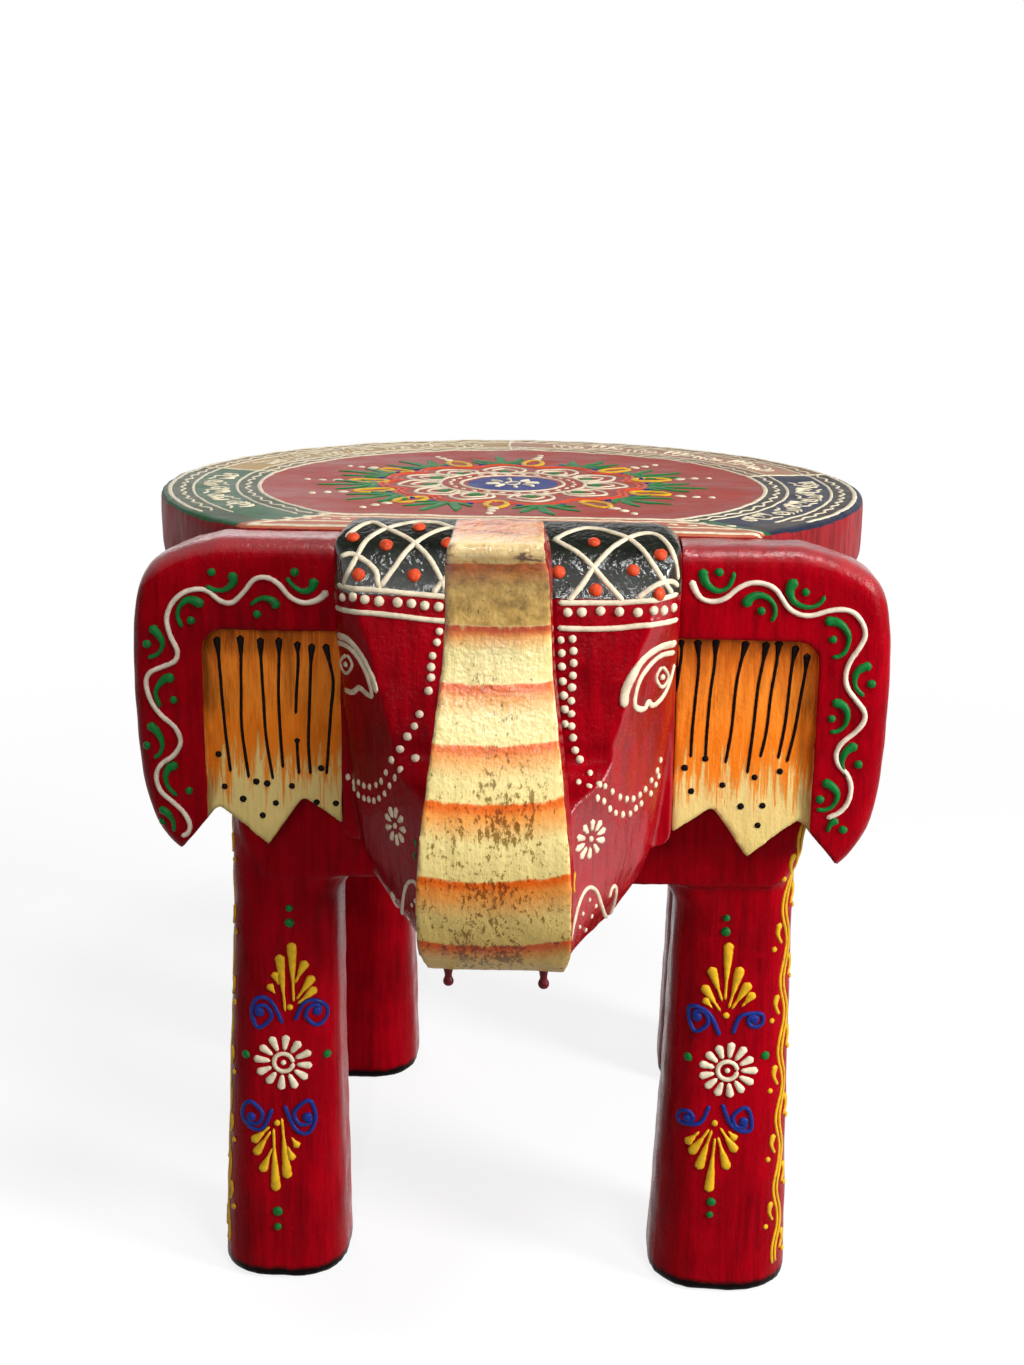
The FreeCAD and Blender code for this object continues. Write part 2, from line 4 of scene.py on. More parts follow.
import bmesh
import bpy
import numpy as np
from bpy.props import FloatProperty, FloatVectorProperty, PointerProperty
from mathutils import Matrix, Vector, noise
from mathutils.bvhtree import BVHTree


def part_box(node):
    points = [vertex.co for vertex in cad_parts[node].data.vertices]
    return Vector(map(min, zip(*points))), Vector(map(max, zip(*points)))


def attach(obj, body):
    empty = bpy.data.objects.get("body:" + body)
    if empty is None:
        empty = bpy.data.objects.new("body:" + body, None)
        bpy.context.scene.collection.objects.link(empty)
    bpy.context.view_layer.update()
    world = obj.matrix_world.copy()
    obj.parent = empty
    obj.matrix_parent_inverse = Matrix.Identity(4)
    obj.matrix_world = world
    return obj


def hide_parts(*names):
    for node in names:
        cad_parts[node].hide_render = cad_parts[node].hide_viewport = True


bl_info = {
    "name": "Carved elephant stool",
    "version": (1, 0, 0),
    "blender": (4, 5, 0),
    "location": "View3D > Sidebar > Stool",
    "description": "Carves, paints and lights a wooden elephant stool over its packed solids",
    "category": "Add Mesh",
}

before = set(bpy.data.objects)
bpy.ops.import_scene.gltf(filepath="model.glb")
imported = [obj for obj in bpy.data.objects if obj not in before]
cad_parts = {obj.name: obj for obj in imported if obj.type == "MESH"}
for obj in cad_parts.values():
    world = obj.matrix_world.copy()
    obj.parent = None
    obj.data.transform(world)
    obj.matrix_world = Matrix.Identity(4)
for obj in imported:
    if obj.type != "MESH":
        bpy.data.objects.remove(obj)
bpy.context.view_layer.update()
MM = 0.001
BODY = "root"

SEAT_LOW, SEAT_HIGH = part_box("seat_top")
SEAT_RADIUS = (SEAT_HIGH.x - SEAT_LOW.x) / 2
SEAT_CENTRE = Vector(((SEAT_HIGH.x + SEAT_LOW.x) / 2, SEAT_HIGH.y - SEAT_RADIUS, SEAT_HIGH.z))
EAR_LOW, EAR_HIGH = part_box("right_ear")
HEAD_LOW, HEAD_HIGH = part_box("head_block")
TRUNK_LOW, TRUNK_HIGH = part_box("trunk")
LINE_X = (HEAD_LOW.x + HEAD_HIGH.x) / 2

# Borders of the painted areas, in metres: the cap's lower line, and the ear panels' side and top
CAP_LINE = HEAD_HIGH.z - 17.6 * MM
HEAD_SIDE, EAR_SIDE = HEAD_HIGH.x - LINE_X, EAR_HIGH.x - LINE_X
PANEL_SIDE = HEAD_SIDE + (EAR_SIDE - HEAD_SIDE) * 0.649
PANEL_TOP = EAR_LOW.z + (EAR_HIGH.z - EAR_LOW.z) * 0.715

# The trunk: height of each orange band and how far it fades downward, in millimetres;
# below, in metres: the olive stripe with its soft border, the tip over it, and where the gloss sets in
TRUNK_BANDS = ((256.4, 5), (238.5, 6.5), (223.5, 8), (208.2, 8.5), (193.4, 10), (173, 11.5), (152.9, 6.5))
STRIPE_LOW, STRIPE_HIGH, SOFT = 0.2384, 0.2564, 0.4 * MM
WET_LOW, WET_HIGH = 0.195, 0.215

# The seat, in millimetres and degrees round its centre
DISC_RADIUS, RING_RADIUS, LANES, LANE_HALF = 15.5, 85.5, (89.2, 111.1), 3.7
FRONT_LINE = -68.3
RING_START, RING_SPLITS, RING_END = -47, (17, 93, 167), 232.5


def shade(red, green, blue):
    """A paint's colour, given on a 0 to 255 scale, as the shader reads it."""
    def linear(level):
        share = level / 255
        return share / 12.92 if share <= 0.04045 else ((share + 0.055) / 1.055) ** 2.4
    return (linear(red), linear(green), linear(blue))


def dim(paint, share):
    """The same paint, darker or lighter by a share."""
    return tuple(min(1.0, level * share) for level in paint)


def length(name, text, default):
    return FloatProperty(name=name, description=text, default=default, min=0, unit="LENGTH",
                         subtype="DISTANCE")


def colour(name, text, default):
    return FloatVectorProperty(name=name, description=text, default=default, size=3, min=0, max=1,
                               subtype="COLOR")


class StoolSizes(bpy.types.PropertyGroup):
    """Sizes that a user of the stool may change."""
    body_grain: length("Body carving grain", "Size of the smallest cut on the body, legs and seat", 0.0014)
    face_grain: length("Face carving grain", "Size of the smallest cut on the head, ears and trunk", 0.0009)
    knife_marks: length("Knife marks", "How far the hand-cut faces wave in and out", 0.00028)
    slip_height: length("Paint relief", "How far a line of thick paint stands over the wood", 0.0005)
    slip_step: length("Brush step", "Distance between two sections of a painted line", 0.0009)


class StoolColours(bpy.types.PropertyGroup):
    """Colours of the stool's paints."""
    crimson: colour("Crimson", "The red of the body, head, ears and legs", shade(164, 1, 18))
    crimson_shadow: colour("Dark crimson", "The red that settles in the grain", shade(104, 1, 10))
    maroon: colour("Maroon", "The red of the seat's field", shade(158, 44, 28))
    cream: colour("Cream", "Lines, dots and flowers", shade(240, 226, 196))
    orange_red: colour("Orange red", "Raised domes on the cap and scallops on the seat", shade(222, 78, 40))
    yellow: colour("Yellow", "Loops on the seat, palmettes and vines on the legs", shade(232, 182, 34))
    green: colour("Green", "Leaves and commas", shade(6, 112, 44))
    blue: colour("Blue", "Scrolls on the legs and the seat's centre", shade(22, 44, 128))
    cap_black: colour("Cap black", "The cap's dark ground", shade(26, 29, 20))
    line_black: colour("Line black", "Strokes and dots on the ear panels", shade(16, 8, 6))
    bare_wood: colour("Bare wood", "The dowels", shade(196, 160, 112))


def sizes():
    return bpy.context.scene.stool_sizes


def colours():
    return bpy.context.scene.stool_colours


def puts_in(operation):
    """The sign of arithmetic that adds the math node of that name."""
    return lambda *values: values[0].nodes.sum(operation, *values)


class Level:
    """A value that changes over the surface. Arithmetic with it adds the nodes that work it out."""

    def __init__(self, nodes, socket):
        self.nodes, self.socket = nodes, socket

    __add__, __sub__, __mul__ = puts_in("ADD"), puts_in("SUBTRACT"), puts_in("MULTIPLY")
    __truediv__, __abs__ = puts_in("DIVIDE"), puts_in("ABSOLUTE")
    __lt__, __gt__ = puts_in("LESS_THAN"), puts_in("GREATER_THAN")

    def between(self, low, high, start=0.0, end=1.0):
        """Rises from start to end while this value goes from low to high, and stays level outside."""
        return self.nodes.add("MapRange", dict(enumerate((self, low, high, start, end))))


class Nodes:
    """Short ways to add nodes to a tree."""

    def __init__(self, tree):
        self.tree = tree

    def put(self, value, socket):
        if isinstance(value, Level):
            self.tree.links.new(value.socket, socket)
        elif socket.type == "RGBA":
            socket.default_value = (*value, 1.0)
        else:
            socket.default_value = value

    def add(self, kind, inputs, output=0, **settings):
        """Adds a node, fills its inputs by name or number, and gives one of its outputs."""
        node = self.tree.nodes.new("ShaderNode" + kind)
        for name, value in settings.items():
            setattr(node, name, value)
        for name, value in inputs.items():
            self.put(value, node.inputs[name])
        return Level(self, node.outputs[output]) if node.outputs else None

    def sum(self, operation, *values):
        return self.add("Math", dict(enumerate(values)), operation=operation)


class Finish(Nodes):
    """One finish: a material, its shader, and short ways to vary it."""

    def __init__(self, name):
        self.material = bpy.data.materials.new(name)
        self.material.use_nodes = True
        super().__init__(self.material.node_tree)
        self.tree.nodes.clear()
        self.shader = self.tree.nodes.new("ShaderNodeBsdfPrincipled")
        self.add("OutputMaterial", {"Surface": Level(self, self.shader.outputs["BSDF"])})
        self.place = self.add("TexCoord", {}, "Object")
        self.x, self.y, self.z = (self.add("SeparateXYZ", {0: self.place}, axis) for axis in "XYZ")

    def grain(self, size, stretch=(1, 1, 1), detail=4.0, contrast=0.6):
        """Cloudy marks of that size in metres, drawn out along an axis where its stretch is over 1."""
        spot = self.add("Mapping", {"Scale": [1 / (size * share) for share in stretch], "Vector": self.place})
        return self.add("TexNoise", {"Scale": 1.0, "Detail": detail, "Roughness": contrast, "Vector": spot})

    def wave(self, size, height):
        """Takes a border that height up and down, in marks of that size."""
        return (self.grain(size) - 0.5) * height

    def mix(self, share, under, over, blend="MIX"):
        return self.add("Mix", {0: share, 6: under, 7: over}, 2, data_type="RGBA", blend_type=blend)

    def ramp(self, value, *stops):
        """Colours in a row, each with its place from 0 to 1."""
        row = self.add("ValToRGB", {0: value})
        band = row.socket.node.color_ramp
        while len(band.elements) < len(stops):
            band.elements.new(0.5)
        for element, (place, paint) in zip(band.elements, stops):
            element.position = place
            element.color = (*paint, 1.0)
        return row

    def facing(self, axis, way=1.0):
        """How much the surface faces along an axis, from 0 to 1."""
        normal = self.add("NewGeometry", {}, "Normal")
        return self.add("SeparateXYZ", {0: normal}, axis).between(0.0, way)

    def edge(self, low, high):
        """Where the form is sharply rounded outward, or inward if low is over high."""
        return self.add("NewGeometry", {}, "Pointiness").between(low, high)

    def relief(self, height, distance, strength, under=None):
        """Fine bumps, laid over the ones under them."""
        inputs = {"Distance": distance, "Strength": strength, "Height": height}
        if under is not None:
            inputs["Normal"] = under
        return self.add("Bump", inputs)

    def shine(self, level):
        self.put(level, self.shader.inputs["Specular IOR Level"])

    def done(self, paint, roughness, normal):
        self.put(paint, self.shader.inputs["Base Color"])
        self.put(roughness, self.shader.inputs["Roughness"])
        self.put(normal, self.shader.inputs["Normal"])
        return self.material


def gloss_red(finish, stretch):
    """The crimson oil paint: dark streaks along the grain, rubbed edges, painted shade with grime in the
    hollows, a skin that shines from above.
    """
    bright, dark = colours().crimson, colours().crimson_shadow
    streak = finish.grain(2.2 * MM, stretch, detail=5.0, contrast=0.7)
    paint = finish.mix((streak + finish.grain(26 * MM) * 0.7).between(0.52, 0.98), dark, bright)
    paint = finish.mix(finish.grain(5 * MM).between(0.6, 0.75, 0.0, 0.35), paint, dim(bright, 1.3))
    # Darker in the hollows: painted shade, with grime that settles there.
    paint = finish.mix(finish.edge(0.49, 0.44) * 0.6, paint, dim(dark, 0.5))
    rub = finish.edge(0.54, 0.62) * finish.grain(3 * MM).between(0.5, 0.7)
    paint = finish.mix(rub * 0.5, paint, dim(dark, 0.55))
    skin = finish.relief(streak, 0.3 * MM, 0.6)
    skin = finish.relief(finish.grain(1.5 * MM, detail=2.0), 0.22 * MM, 0.8, skin)
    finish.shine(finish.facing("Z").between(0.25, 0.6, 0.025, 0.6))
    return paint, finish.grain(6 * MM).between(0.35, 0.7, 0.14, 0.32), skin


def crimson_paint():
    """The body and legs: crimson, with a dark rim round the bottom of the feet."""
    finish = Finish("crimson_paint")
    paint, roughness, skin = gloss_red(finish, (1, 1, 14))
    foot = finish.z + finish.grain(4 * MM) * (2.5 * MM)
    paint = finish.mix(foot.between(6.4 * MM, 4.6 * MM), paint, shade(16, 9, 8))
    return finish.done(paint, roughness, skin)


def cap_paint():
    """The head: crimson, with a black cap and a red band under it."""
    finish = Finish("head_paint")
    paint, roughness, skin = gloss_red(finish, (1, 1, 12))
    ground = colours().cap_black
    black = finish.mix(finish.grain(5 * MM).between(0.35, 0.65), dim(ground, 0.3), dim(ground, 1.5))
    level = finish.z + finish.grain(5 * MM) * (1.2 * MM)
    inside = level.between(CAP_LINE + 0.4 * MM, CAP_LINE + 0.9 * MM)
    flat = finish.facing("Z").between(0.4, 0.8, 0.85, 0.06)
    cheek = finish.facing("X").between(0.3, 0.6, 0.03, 0.5)
    finish.shine(inside.between(0.0, 1.0, cheek, flat))
    dabs = finish.grain(2.0 * MM, (1, 1, 1.6), detail=1.0)
    skin = finish.relief(dabs * inside, 0.6 * MM, 0.8, skin)
    return finish.done(finish.mix(inside, paint, black), inside.between(0.0, 1.0, roughness, 0.1), skin)


def wood_paint():
    """Bare turned wood for the dowels."""
    finish = Finish("bare_dowel_wood")
    finish.shine(0.3)
    ring = finish.grain(1.4 * MM, (1, 9, 1), detail=5.0)
    bare = colours().bare_wood
    paint = finish.mix(ring.between(0.35, 0.7), dim(bare, 0.62), bare)
    return finish.done(paint, ring.between(0.3, 0.7, 0.5, 0.75), finish.relief(ring, 0.15 * MM, 0.6))


def enamel(name, paint, roughness=0.3, shine=0.14):
    """Thick slip paint laid on in lines and dots."""
    finish = Finish(name)
    finish.shine(shine)
    cloud = finish.grain(2.4 * MM)
    tint = finish.mix(cloud.between(0.3, 0.62), dim(paint, 0.72), paint)
    # Darker where the stroke's surface turns inward: painted shade in its creases.
    tint = finish.mix(finish.edge(0.5, 0.42) * 0.5, tint, dim(paint, 0.35))
    skin = finish.relief(finish.grain(0.7 * MM, detail=2.0), 0.09 * MM, 0.5)
    return finish.done(tint, cloud.between(0.35, 0.65, roughness - 0.06, roughness + 0.14), skin)


def ear_paint():
    """The ears: crimson, with a sunk panel that runs from orange at its top to cream at its tips, and painted
    shade under its rim.
    """
    finish = Finish("ear_paint")
    paint, roughness, skin = gloss_red(finish, (1, 1, 9))
    side = abs(finish.x - LINE_X)
    comb = finish.grain(1.3 * MM, (1, 1, 30), detail=5.0, contrast=0.75)
    smudge = finish.grain(6 * MM, (0.8, 1, 3.5), detail=5.0)
    drop = finish.z.between(PANEL_TOP, EAR_LOW.z)
    # The darker first stop, at the panel's very top, is partly painted shadow under the rim.
    panel = finish.ramp(
        drop + (comb - 0.5) * 1.25,
        (0.0, shade(204, 102, 28)), (0.1, shade(232, 122, 38)), (0.24, shade(246, 142, 46)),
        (0.5, shade(242, 122, 24)), (0.6, shade(230, 146, 58)), (0.7, shade(234, 208, 134)),
        (1.0, shade(224, 198, 118)))
    stain = smudge.between(0.45, 0.62, 0.0, 0.6) * drop.between(0.62, 0.3) * comb.between(0.35, 0.6)
    panel = finish.mix(stain, panel, shade(112, 50, 14))
    # Darker along the panel's outer side and top: painted shade where the rim stands over the sunk panel;
    # darker at its lower edges and tips: burnt brown.
    wall_shade = side.between(PANEL_SIDE - 5 * MM, PANEL_SIDE - 1 * MM)
    burnt = finish.edge(0.52, 0.58) * drop.between(0.6, 0.7)
    rim = finish.sum("MAXIMUM", finish.sum("MAXIMUM", wall_shade, drop.between(0.09, 0.0)),
                     finish.sum("MAXIMUM", burnt, drop.between(0.86, 1.02)))
    panel = finish.mix(rim * smudge.between(0.38, 0.6, 0.1, 0.6), panel, shade(84, 46, 18))
    wave = finish.wave(4 * MM, 2.4 * MM)
    inside = (side + wave < PANEL_SIDE + 0.5 * MM) * (finish.z + wave < PANEL_TOP)
    sunk = (finish.y < EAR_LOW.y + 6 * MM) * (finish.y > EAR_LOW.y + 0.5 * MM)
    share = inside * sunk * (finish.facing("Y", -1.0) > 0.12)
    return finish.done(finish.mix(share, paint, panel), roughness, finish.relief(comb, 0.25 * MM, 0.5, skin))


def trunk_bands(finish, level, soft):
    """Cream with orange bands that fade downward, each with a deep orange line along its top."""
    span = TRUNK_HIGH.z - TRUNK_LOW.z
    reach = MM / span
    cream, none, full = shade(250, 228, 152), (0, 0, 0), (1, 1, 1)
    fades, lines = [], []
    for height, fade in reversed(TRUNK_BANDS):
        at = (height * MM - TRUNK_LOW.z) / span
        fades += [(at - fade * reach, cream), (at - fade * 0.4 * reach, shade(250, 166, 80)),
                  (at, shade(246, 130, 36)), (at + 0.1 * reach, cream)]
        lines += [(at - 3.2 * reach, none), (at - 1.3 * reach, full), (at - 0.3 * reach, full),
                  (at + 0.15 * reach, none)]
    front = finish.ramp(soft.between(TRUNK_LOW.z, TRUNK_HIGH.z), *fades)
    return front, finish.ramp(level.between(TRUNK_LOW.z, TRUNK_HIGH.z), *lines)


def trunk_paint():
    """The trunk: cream with orange bands, worn to brown specks, darkened toward its bottom by painted shade,
    and red sides.
    """
    finish = Finish("trunk_paint")
    off = (finish.x - LINE_X) / (18 * MM)
    lift = off * (off * 1.7 + 0.8) * finish.z.between(0.2, 0.255, 1.0 * MM, 0.3 * MM)
    level = finish.z - lift + finish.wave(6 * MM, 2.0 * MM)
    comb = abs(finish.grain(2.2 * MM, (1, 1, 5)) - 0.5)
    soft = level + comb * (6.0 * MM)
    front, line = trunk_bands(finish, level, soft)
    deep = finish.mix(finish.z.between(0.226, 0.238), shade(238, 100, 10), shade(196, 58, 2))
    front = finish.mix(line * comb.between(0.0, 0.2, 0.95, 0.6), front, deep)

    cloud = finish.grain(5 * MM, detail=6.0, contrast=0.65)
    tan = finish.ramp(cloud, (0.34, shade(132, 96, 28)), (0.46, shade(200, 154, 62)),
                      (0.64, shade(242, 196, 102)))
    rust = finish.mix(cloud.between(0.4, 0.6), shade(170, 78, 24), shade(226, 112, 40))
    tan = finish.mix(soft.between(STRIPE_HIGH - 6.9 * MM, STRIPE_HIGH - 0.9 * MM), tan, rust)
    stripe = level.between(STRIPE_LOW, STRIPE_LOW + SOFT) * level.between(STRIPE_HIGH, STRIPE_HIGH - SOFT)
    front = finish.mix(stripe * 0.95, front, tan)

    drag = finish.grain(3.5 * MM, (3, 1, 1), detail=5.0)
    peach = finish.ramp(drag, (0.36, shade(150, 92, 50)), (0.44, shade(208, 108, 42)),
                        (0.58, shade(214, 142, 66)))
    tip = level.between(STRIPE_HIGH, STRIPE_HIGH + SOFT)
    front = finish.mix(tip, front, peach)
    # The lip: pale cream, partly a painted highlight, with dark smudges.
    marks = finish.ramp(finish.grain(4 * MM, (2.2, 1, 1), detail=3.0),
                        (0.4, shade(248, 220, 158)), (0.6, shade(240, 202, 130)), (0.66, shade(112, 78, 62)))
    front = finish.mix(tip * finish.z.between(0.2632, 0.2618), front, marks)

    speck = finish.grain(1.4 * MM, (0.8, 1, 1.5), contrast=0.7)
    wear = speck + finish.wave(9 * MM, 0.5) + abs(off).between(0.85, 0.25, 0.0, 0.07)
    wear = wear - finish.z.between(0.196, 0.212, 0.0, 0.09)
    front = finish.mix(wear.between(0.585, 0.67, 0.0, 0.9), front, shade(138, 116, 50), blend="MULTIPLY")
    # Darker toward the trunk's bottom, where its face turns down: painted shade.
    lower_shade = finish.z.between(TRUNK_LOW.z, TRUNK_LOW.z + 42 * MM, 1.0, 0.0)
    front = finish.mix(lower_shade, front, shade(206, 180, 124), blend="MULTIPLY")
    rub = finish.edge(0.515, 0.56) * speck.between(0.42, 0.55)
    front = finish.mix(rub * 0.7, front, shade(132, 86, 44))

    red, _, skin = gloss_red(finish, (1, 1, 10))
    face = finish.sum("MAXIMUM", finish.facing("Y", -1.0), finish.facing("Z")).between(0.42, 0.5)
    finish.shine(face.between(0.0, 1.0, 0.04, finish.z.between(WET_LOW, WET_HIGH, 0.15, 0.5)))
    dabs = finish.grain(1.8 * MM, (1.2, 1.2, 1), detail=1.5)
    skin = finish.relief(dabs, finish.z.between(0.196, 0.21, 0.15 * MM, 0.4 * MM), 0.6, skin)
    skin = finish.relief(wear, 0.15 * MM, 0.4, skin)
    return finish.done(finish.mix(face, red, front), finish.z.between(WET_LOW, WET_HIGH, 0.32, 0.1), skin)


def ring_paint(finish, cloud, turn, reach):
    """The seat's ring: four painted sectors, with two dark lanes for the waves."""
    borders = (RING_START, *RING_SPLITS, RING_END)
    sectors = (shade(34, 38, 58), shade(190, 140, 112), shade(196, 160, 100), shade(36, 84, 48))
    ring = sectors[-1]
    for paint, start, end in reversed(list(zip(sectors, borders, borders[1:]))):
        middle, half = math.radians((start + end) / 2), math.radians((end - start) / 2)
        away = abs(finish.sum("WRAP", turn - middle, math.pi, -math.pi))
        ring = finish.mix(away < half, ring, finish.mix(cloud.between(0.35, 0.65), dim(paint, 0.7), paint))
    lanes = finish.sum("MAXIMUM", *(abs(reach - lane * MM) < LANE_HALF * MM for lane in LANES))
    return finish.mix(lanes * 0.6, ring, shade(58, 46, 26))


def seat_paint():
    """The seat: a maroon field, a ring in four colours, a salmon front band and a grained edge."""
    finish = Finish("seat_paint")
    maroon, blue = colours().maroon, colours().blue
    cloud = finish.grain(22 * MM)
    brush = finish.grain(2.4 * MM, (9, 1, 1), detail=5.0, contrast=0.7)
    field = finish.mix(brush.between(0.35, 0.65), dim(maroon, 0.7), maroon)
    field = finish.mix(cloud.between(0.4, 0.65, 0.0, 0.35), field, dim(maroon, 1.4))
    across, deep = finish.x - SEAT_CENTRE.x, finish.y - SEAT_CENTRE.y
    waver = finish.wave(5 * MM, 1.2 * MM)
    reach = finish.sum("SQRT", across * across + deep * deep) + waver
    ring = ring_paint(finish, cloud, finish.sum("ARCTAN2", deep, across), reach)
    top = finish.mix(reach > RING_RADIUS * MM, field, ring)
    top = finish.mix(reach < DISC_RADIUS * MM, top, finish.mix(finish.grain(3 * MM), dim(blue, 0.5), blue))
    band = finish.mix(brush.between(0.3, 0.7), shade(172, 84, 56), shade(196, 118, 86))
    ahead = deep + waver
    width = abs(across) - (ahead - FRONT_LINE * MM) * -1.373
    top = finish.mix((ahead < FRONT_LINE * MM) * (width < 52 * MM), top, band)
    grain = finish.grain(1.6 * MM, (1, 1, 16), detail=5.0, contrast=0.7)
    edge = finish.mix(grain.between(0.36, 0.64), shade(96, 12, 16), shade(158, 28, 34))
    rim = (finish.z + finish.wave(6 * MM, 2 * MM) > SEAT_HIGH.z - 1.5 * MM) * (deep > -80 * MM)
    paint = finish.mix(finish.facing("Z").between(0.5, 0.62), finish.mix(rim, edge, top), top)
    finish.shine(0.09)
    skin = finish.relief(grain, 0.35 * MM, 0.4, finish.relief(brush, 0.2 * MM, 0.5))
    return finish.done(paint, cloud.between(0.35, 0.65, 0.4, 0.55), skin)


def pairs(*tenths):
    """Points in millimetres from pairs of numbers in tenths of a millimetre, across and up."""
    numbers = [number / 10 for number in tenths]
    return tuple(zip(numbers[::2], numbers[1::2]))


# Ornament traced, across and up from the frame's origin, seen from the front
EAR_WAVES = (
    pairs(-482, 2340, -507, 2315, -550, 2303, -592, 2320, -626, 2359, -661, 2376, -696, 2368, -725, 2332,
        -761, 2299, -796, 2305, -831, 2333, -866, 2337, -905, 2324, -938, 2292, -954, 2248, -945, 2198, -926,
        2154, -934, 2121, -974, 2102, -1011, 2083, -1023, 2050, -1010, 1999, -980, 1955, -941, 1919, -926,
        1874, -948, 1833, -986, 1805, -1003, 1767, -992, 1722, -957, 1689, -922, 1652, -907, 1614, -917,
        1587, -936, 1580),
    pairs(561, 2392, 572, 2364, 590, 2340, 622, 2331, 659, 2341, 693, 2370, 730, 2387, 768, 2386, 799, 2372,
        818, 2348, 840, 2317, 872, 2299, 910, 2297, 951, 2310, 992, 2316, 1027, 2306, 1053, 2275, 1062, 2239,
        1047, 2203, 1025, 2167, 1013, 2127, 1019, 2087, 1045, 2051, 1072, 2016, 1073, 1986, 1051, 1953, 1014,
        1919, 999, 1885, 1008, 1852, 1034, 1823, 1047, 1786, 1042, 1741, 1019, 1707, 981, 1687),
)
EAR_COMMAS = (
    pairs(-764, 2388, -754, 2363, -778, 2338, -810, 2336, -836, 2348),
    pairs(-520, 2377, -528, 2346, -553, 2337, -577, 2349, -601, 2377),
    pairs(-629, 2284, -642, 2308, -669, 2315, -690, 2307, -707, 2293),
    pairs(-845, 2288, -866, 2302, -892, 2305, -914, 2285, -922, 2256, -909, 2222),
    pairs(-1003, 2224, -983, 2204, -968, 2174, -983, 2142, -1014, 2129),
    pairs(-938, 2065, -961, 2070, -985, 2047, -995, 2021, -982, 1980),
    pairs(-1023, 1926, -999, 1910, -981, 1873, -988, 1839, -1008, 1824),
    pairs(-937, 1797, -957, 1799, -974, 1775, -970, 1738, -942, 1707),
    pairs(-1000, 1663, -977, 1654, -959, 1630, -956, 1592),
    pairs(593, 2426, 595, 2400, 610, 2376, 638, 2362, 665, 2373, 679, 2402, 680, 2419),
    pairs(718, 2316, 725, 2339, 749, 2352, 777, 2347, 798, 2326, 803, 2298, 792, 2275),
    pairs(858, 2400, 841, 2373, 849, 2342, 874, 2324, 905, 2321, 929, 2333, 941, 2355),
    pairs(944, 2280, 973, 2280, 998, 2266, 1016, 2235, 1009, 2195, 989, 2177, 971, 2176),
    pairs(1086, 2151, 1060, 2146, 1041, 2124, 1043, 2088, 1069, 2061),
    pairs(978, 2040, 1004, 2036, 1023, 2014, 1022, 1978, 1002, 1955, 976, 1951),
    pairs(1058, 1914, 1030, 1897, 1017, 1867, 1022, 1838, 1043, 1810),
    pairs(963, 1800, 990, 1788, 1009, 1763, 1000, 1729, 976, 1713, 950, 1714),
    pairs(1015, 1685, 993, 1668, 987, 1644),
)
PANEL_LINES = (
    pairs(-818, 2188, -813, 2137, -806, 2020, -798, 1909, -784, 1778),
    pairs(-748, 2193, -747, 2139, -748, 2021, -748, 1910, -730, 1760),
    pairs(-689, 2188, -688, 2140, -683, 2023, -676, 1889, -657, 1758),
    pairs(-635, 2189, -634, 2141, -637, 2024, -634, 1913, -627, 1793),
    pairs(-580, 2179, -578, 2113, -584, 2025, -587, 1959),
    pairs(-584, 1888, -583, 1839, -579, 1775),
    pairs(-537, 2173, -541, 2100, -546, 1989, -550, 1878, -545, 1776),
    pairs(-498, 2173, -485, 2116, -475, 2057, -484, 1954, -497, 1777),
    pairs(540, 2209, 542, 2165, 534, 2085, 527, 1975, 526, 1837),
    pairs(587, 2210, 593, 2138, 588, 2050, 581, 1939, 579, 1856),
    pairs(641, 2220, 639, 2139, 630, 2051, 624, 1940, 622, 1857),
    pairs(729, 2209, 714, 2140, 703, 2067, 695, 1942, 681, 1841),
    pairs(787, 2207, 780, 2156, 767, 2069, 758, 1944, 746, 1811),
    pairs(823, 2219, 819, 2157, 806, 2055, 797, 1944, 782, 1861),
    pairs(872, 2198, 862, 2129, 856, 2041, 849, 1953, 834, 1858),
    pairs(905, 2175, 901, 2115, 891, 2042, 878, 1939, 860, 1848),
)
CAP_LINES = (
    pairs(-432, 2392, -365, 2394, -303, 2392, -232, 2386, -170, 2382, -100, 2378),
    pairs(186, 2369, 260, 2370, 348, 2372, 435, 2379, 517, 2384),
    pairs(-441, 2324, -354, 2331, -265, 2325, -177, 2316, -102, 2311),
    pairs(185, 2300, 262, 2299, 349, 2303, 436, 2313, 520, 2309),
    pairs(-410, 2399, -396, 2433, -375, 2474, -354, 2512, -317, 2534, -273, 2545, -215, 2550, -161, 2550,
        -109, 2541, -75, 2529),
    pairs(-412, 2520, -380, 2541, -342, 2549, -294, 2538, -244, 2523, -208, 2505, -172, 2476, -141, 2432,
        -116, 2385),
    pairs(-304, 2401, -270, 2448, -237, 2492, -199, 2520, -153, 2538, -105, 2543, -67, 2536),
    pairs(-420, 2474, -394, 2484, -364, 2475, -333, 2457, -314, 2436, -313, 2416, -302, 2398),
    pairs(-160, 2386, -136, 2415, -107, 2446),
    pairs(167, 2525, 204, 2511, 240, 2494, 276, 2466, 313, 2428, 352, 2389, 365, 2375),
    pairs(212, 2372, 250, 2416, 284, 2464, 327, 2505, 372, 2528, 421, 2539, 461, 2534, 491, 2511, 508, 2472,
        516, 2422),
    pairs(167, 2521, 206, 2537, 255, 2546, 309, 2543, 372, 2530, 414, 2506, 444, 2471, 473, 2431, 501, 2388),
    pairs(402, 2384, 434, 2408, 469, 2426, 500, 2423, 518, 2403),
)
SWIRLS = (
    pairs(-272, 1466, -278, 1493, -282, 1468, -277, 1427, -265, 1399, -253, 1423, -231, 1545, -213, 1586,
        -195, 1595, -184, 1580, -177, 1558),
    pairs(235, 1421, 249, 1503, 264, 1561, 285, 1587, 308, 1563, 325, 1500, 344, 1404, 359, 1439, 367, 1520,
        356, 1543, 346, 1509),
)
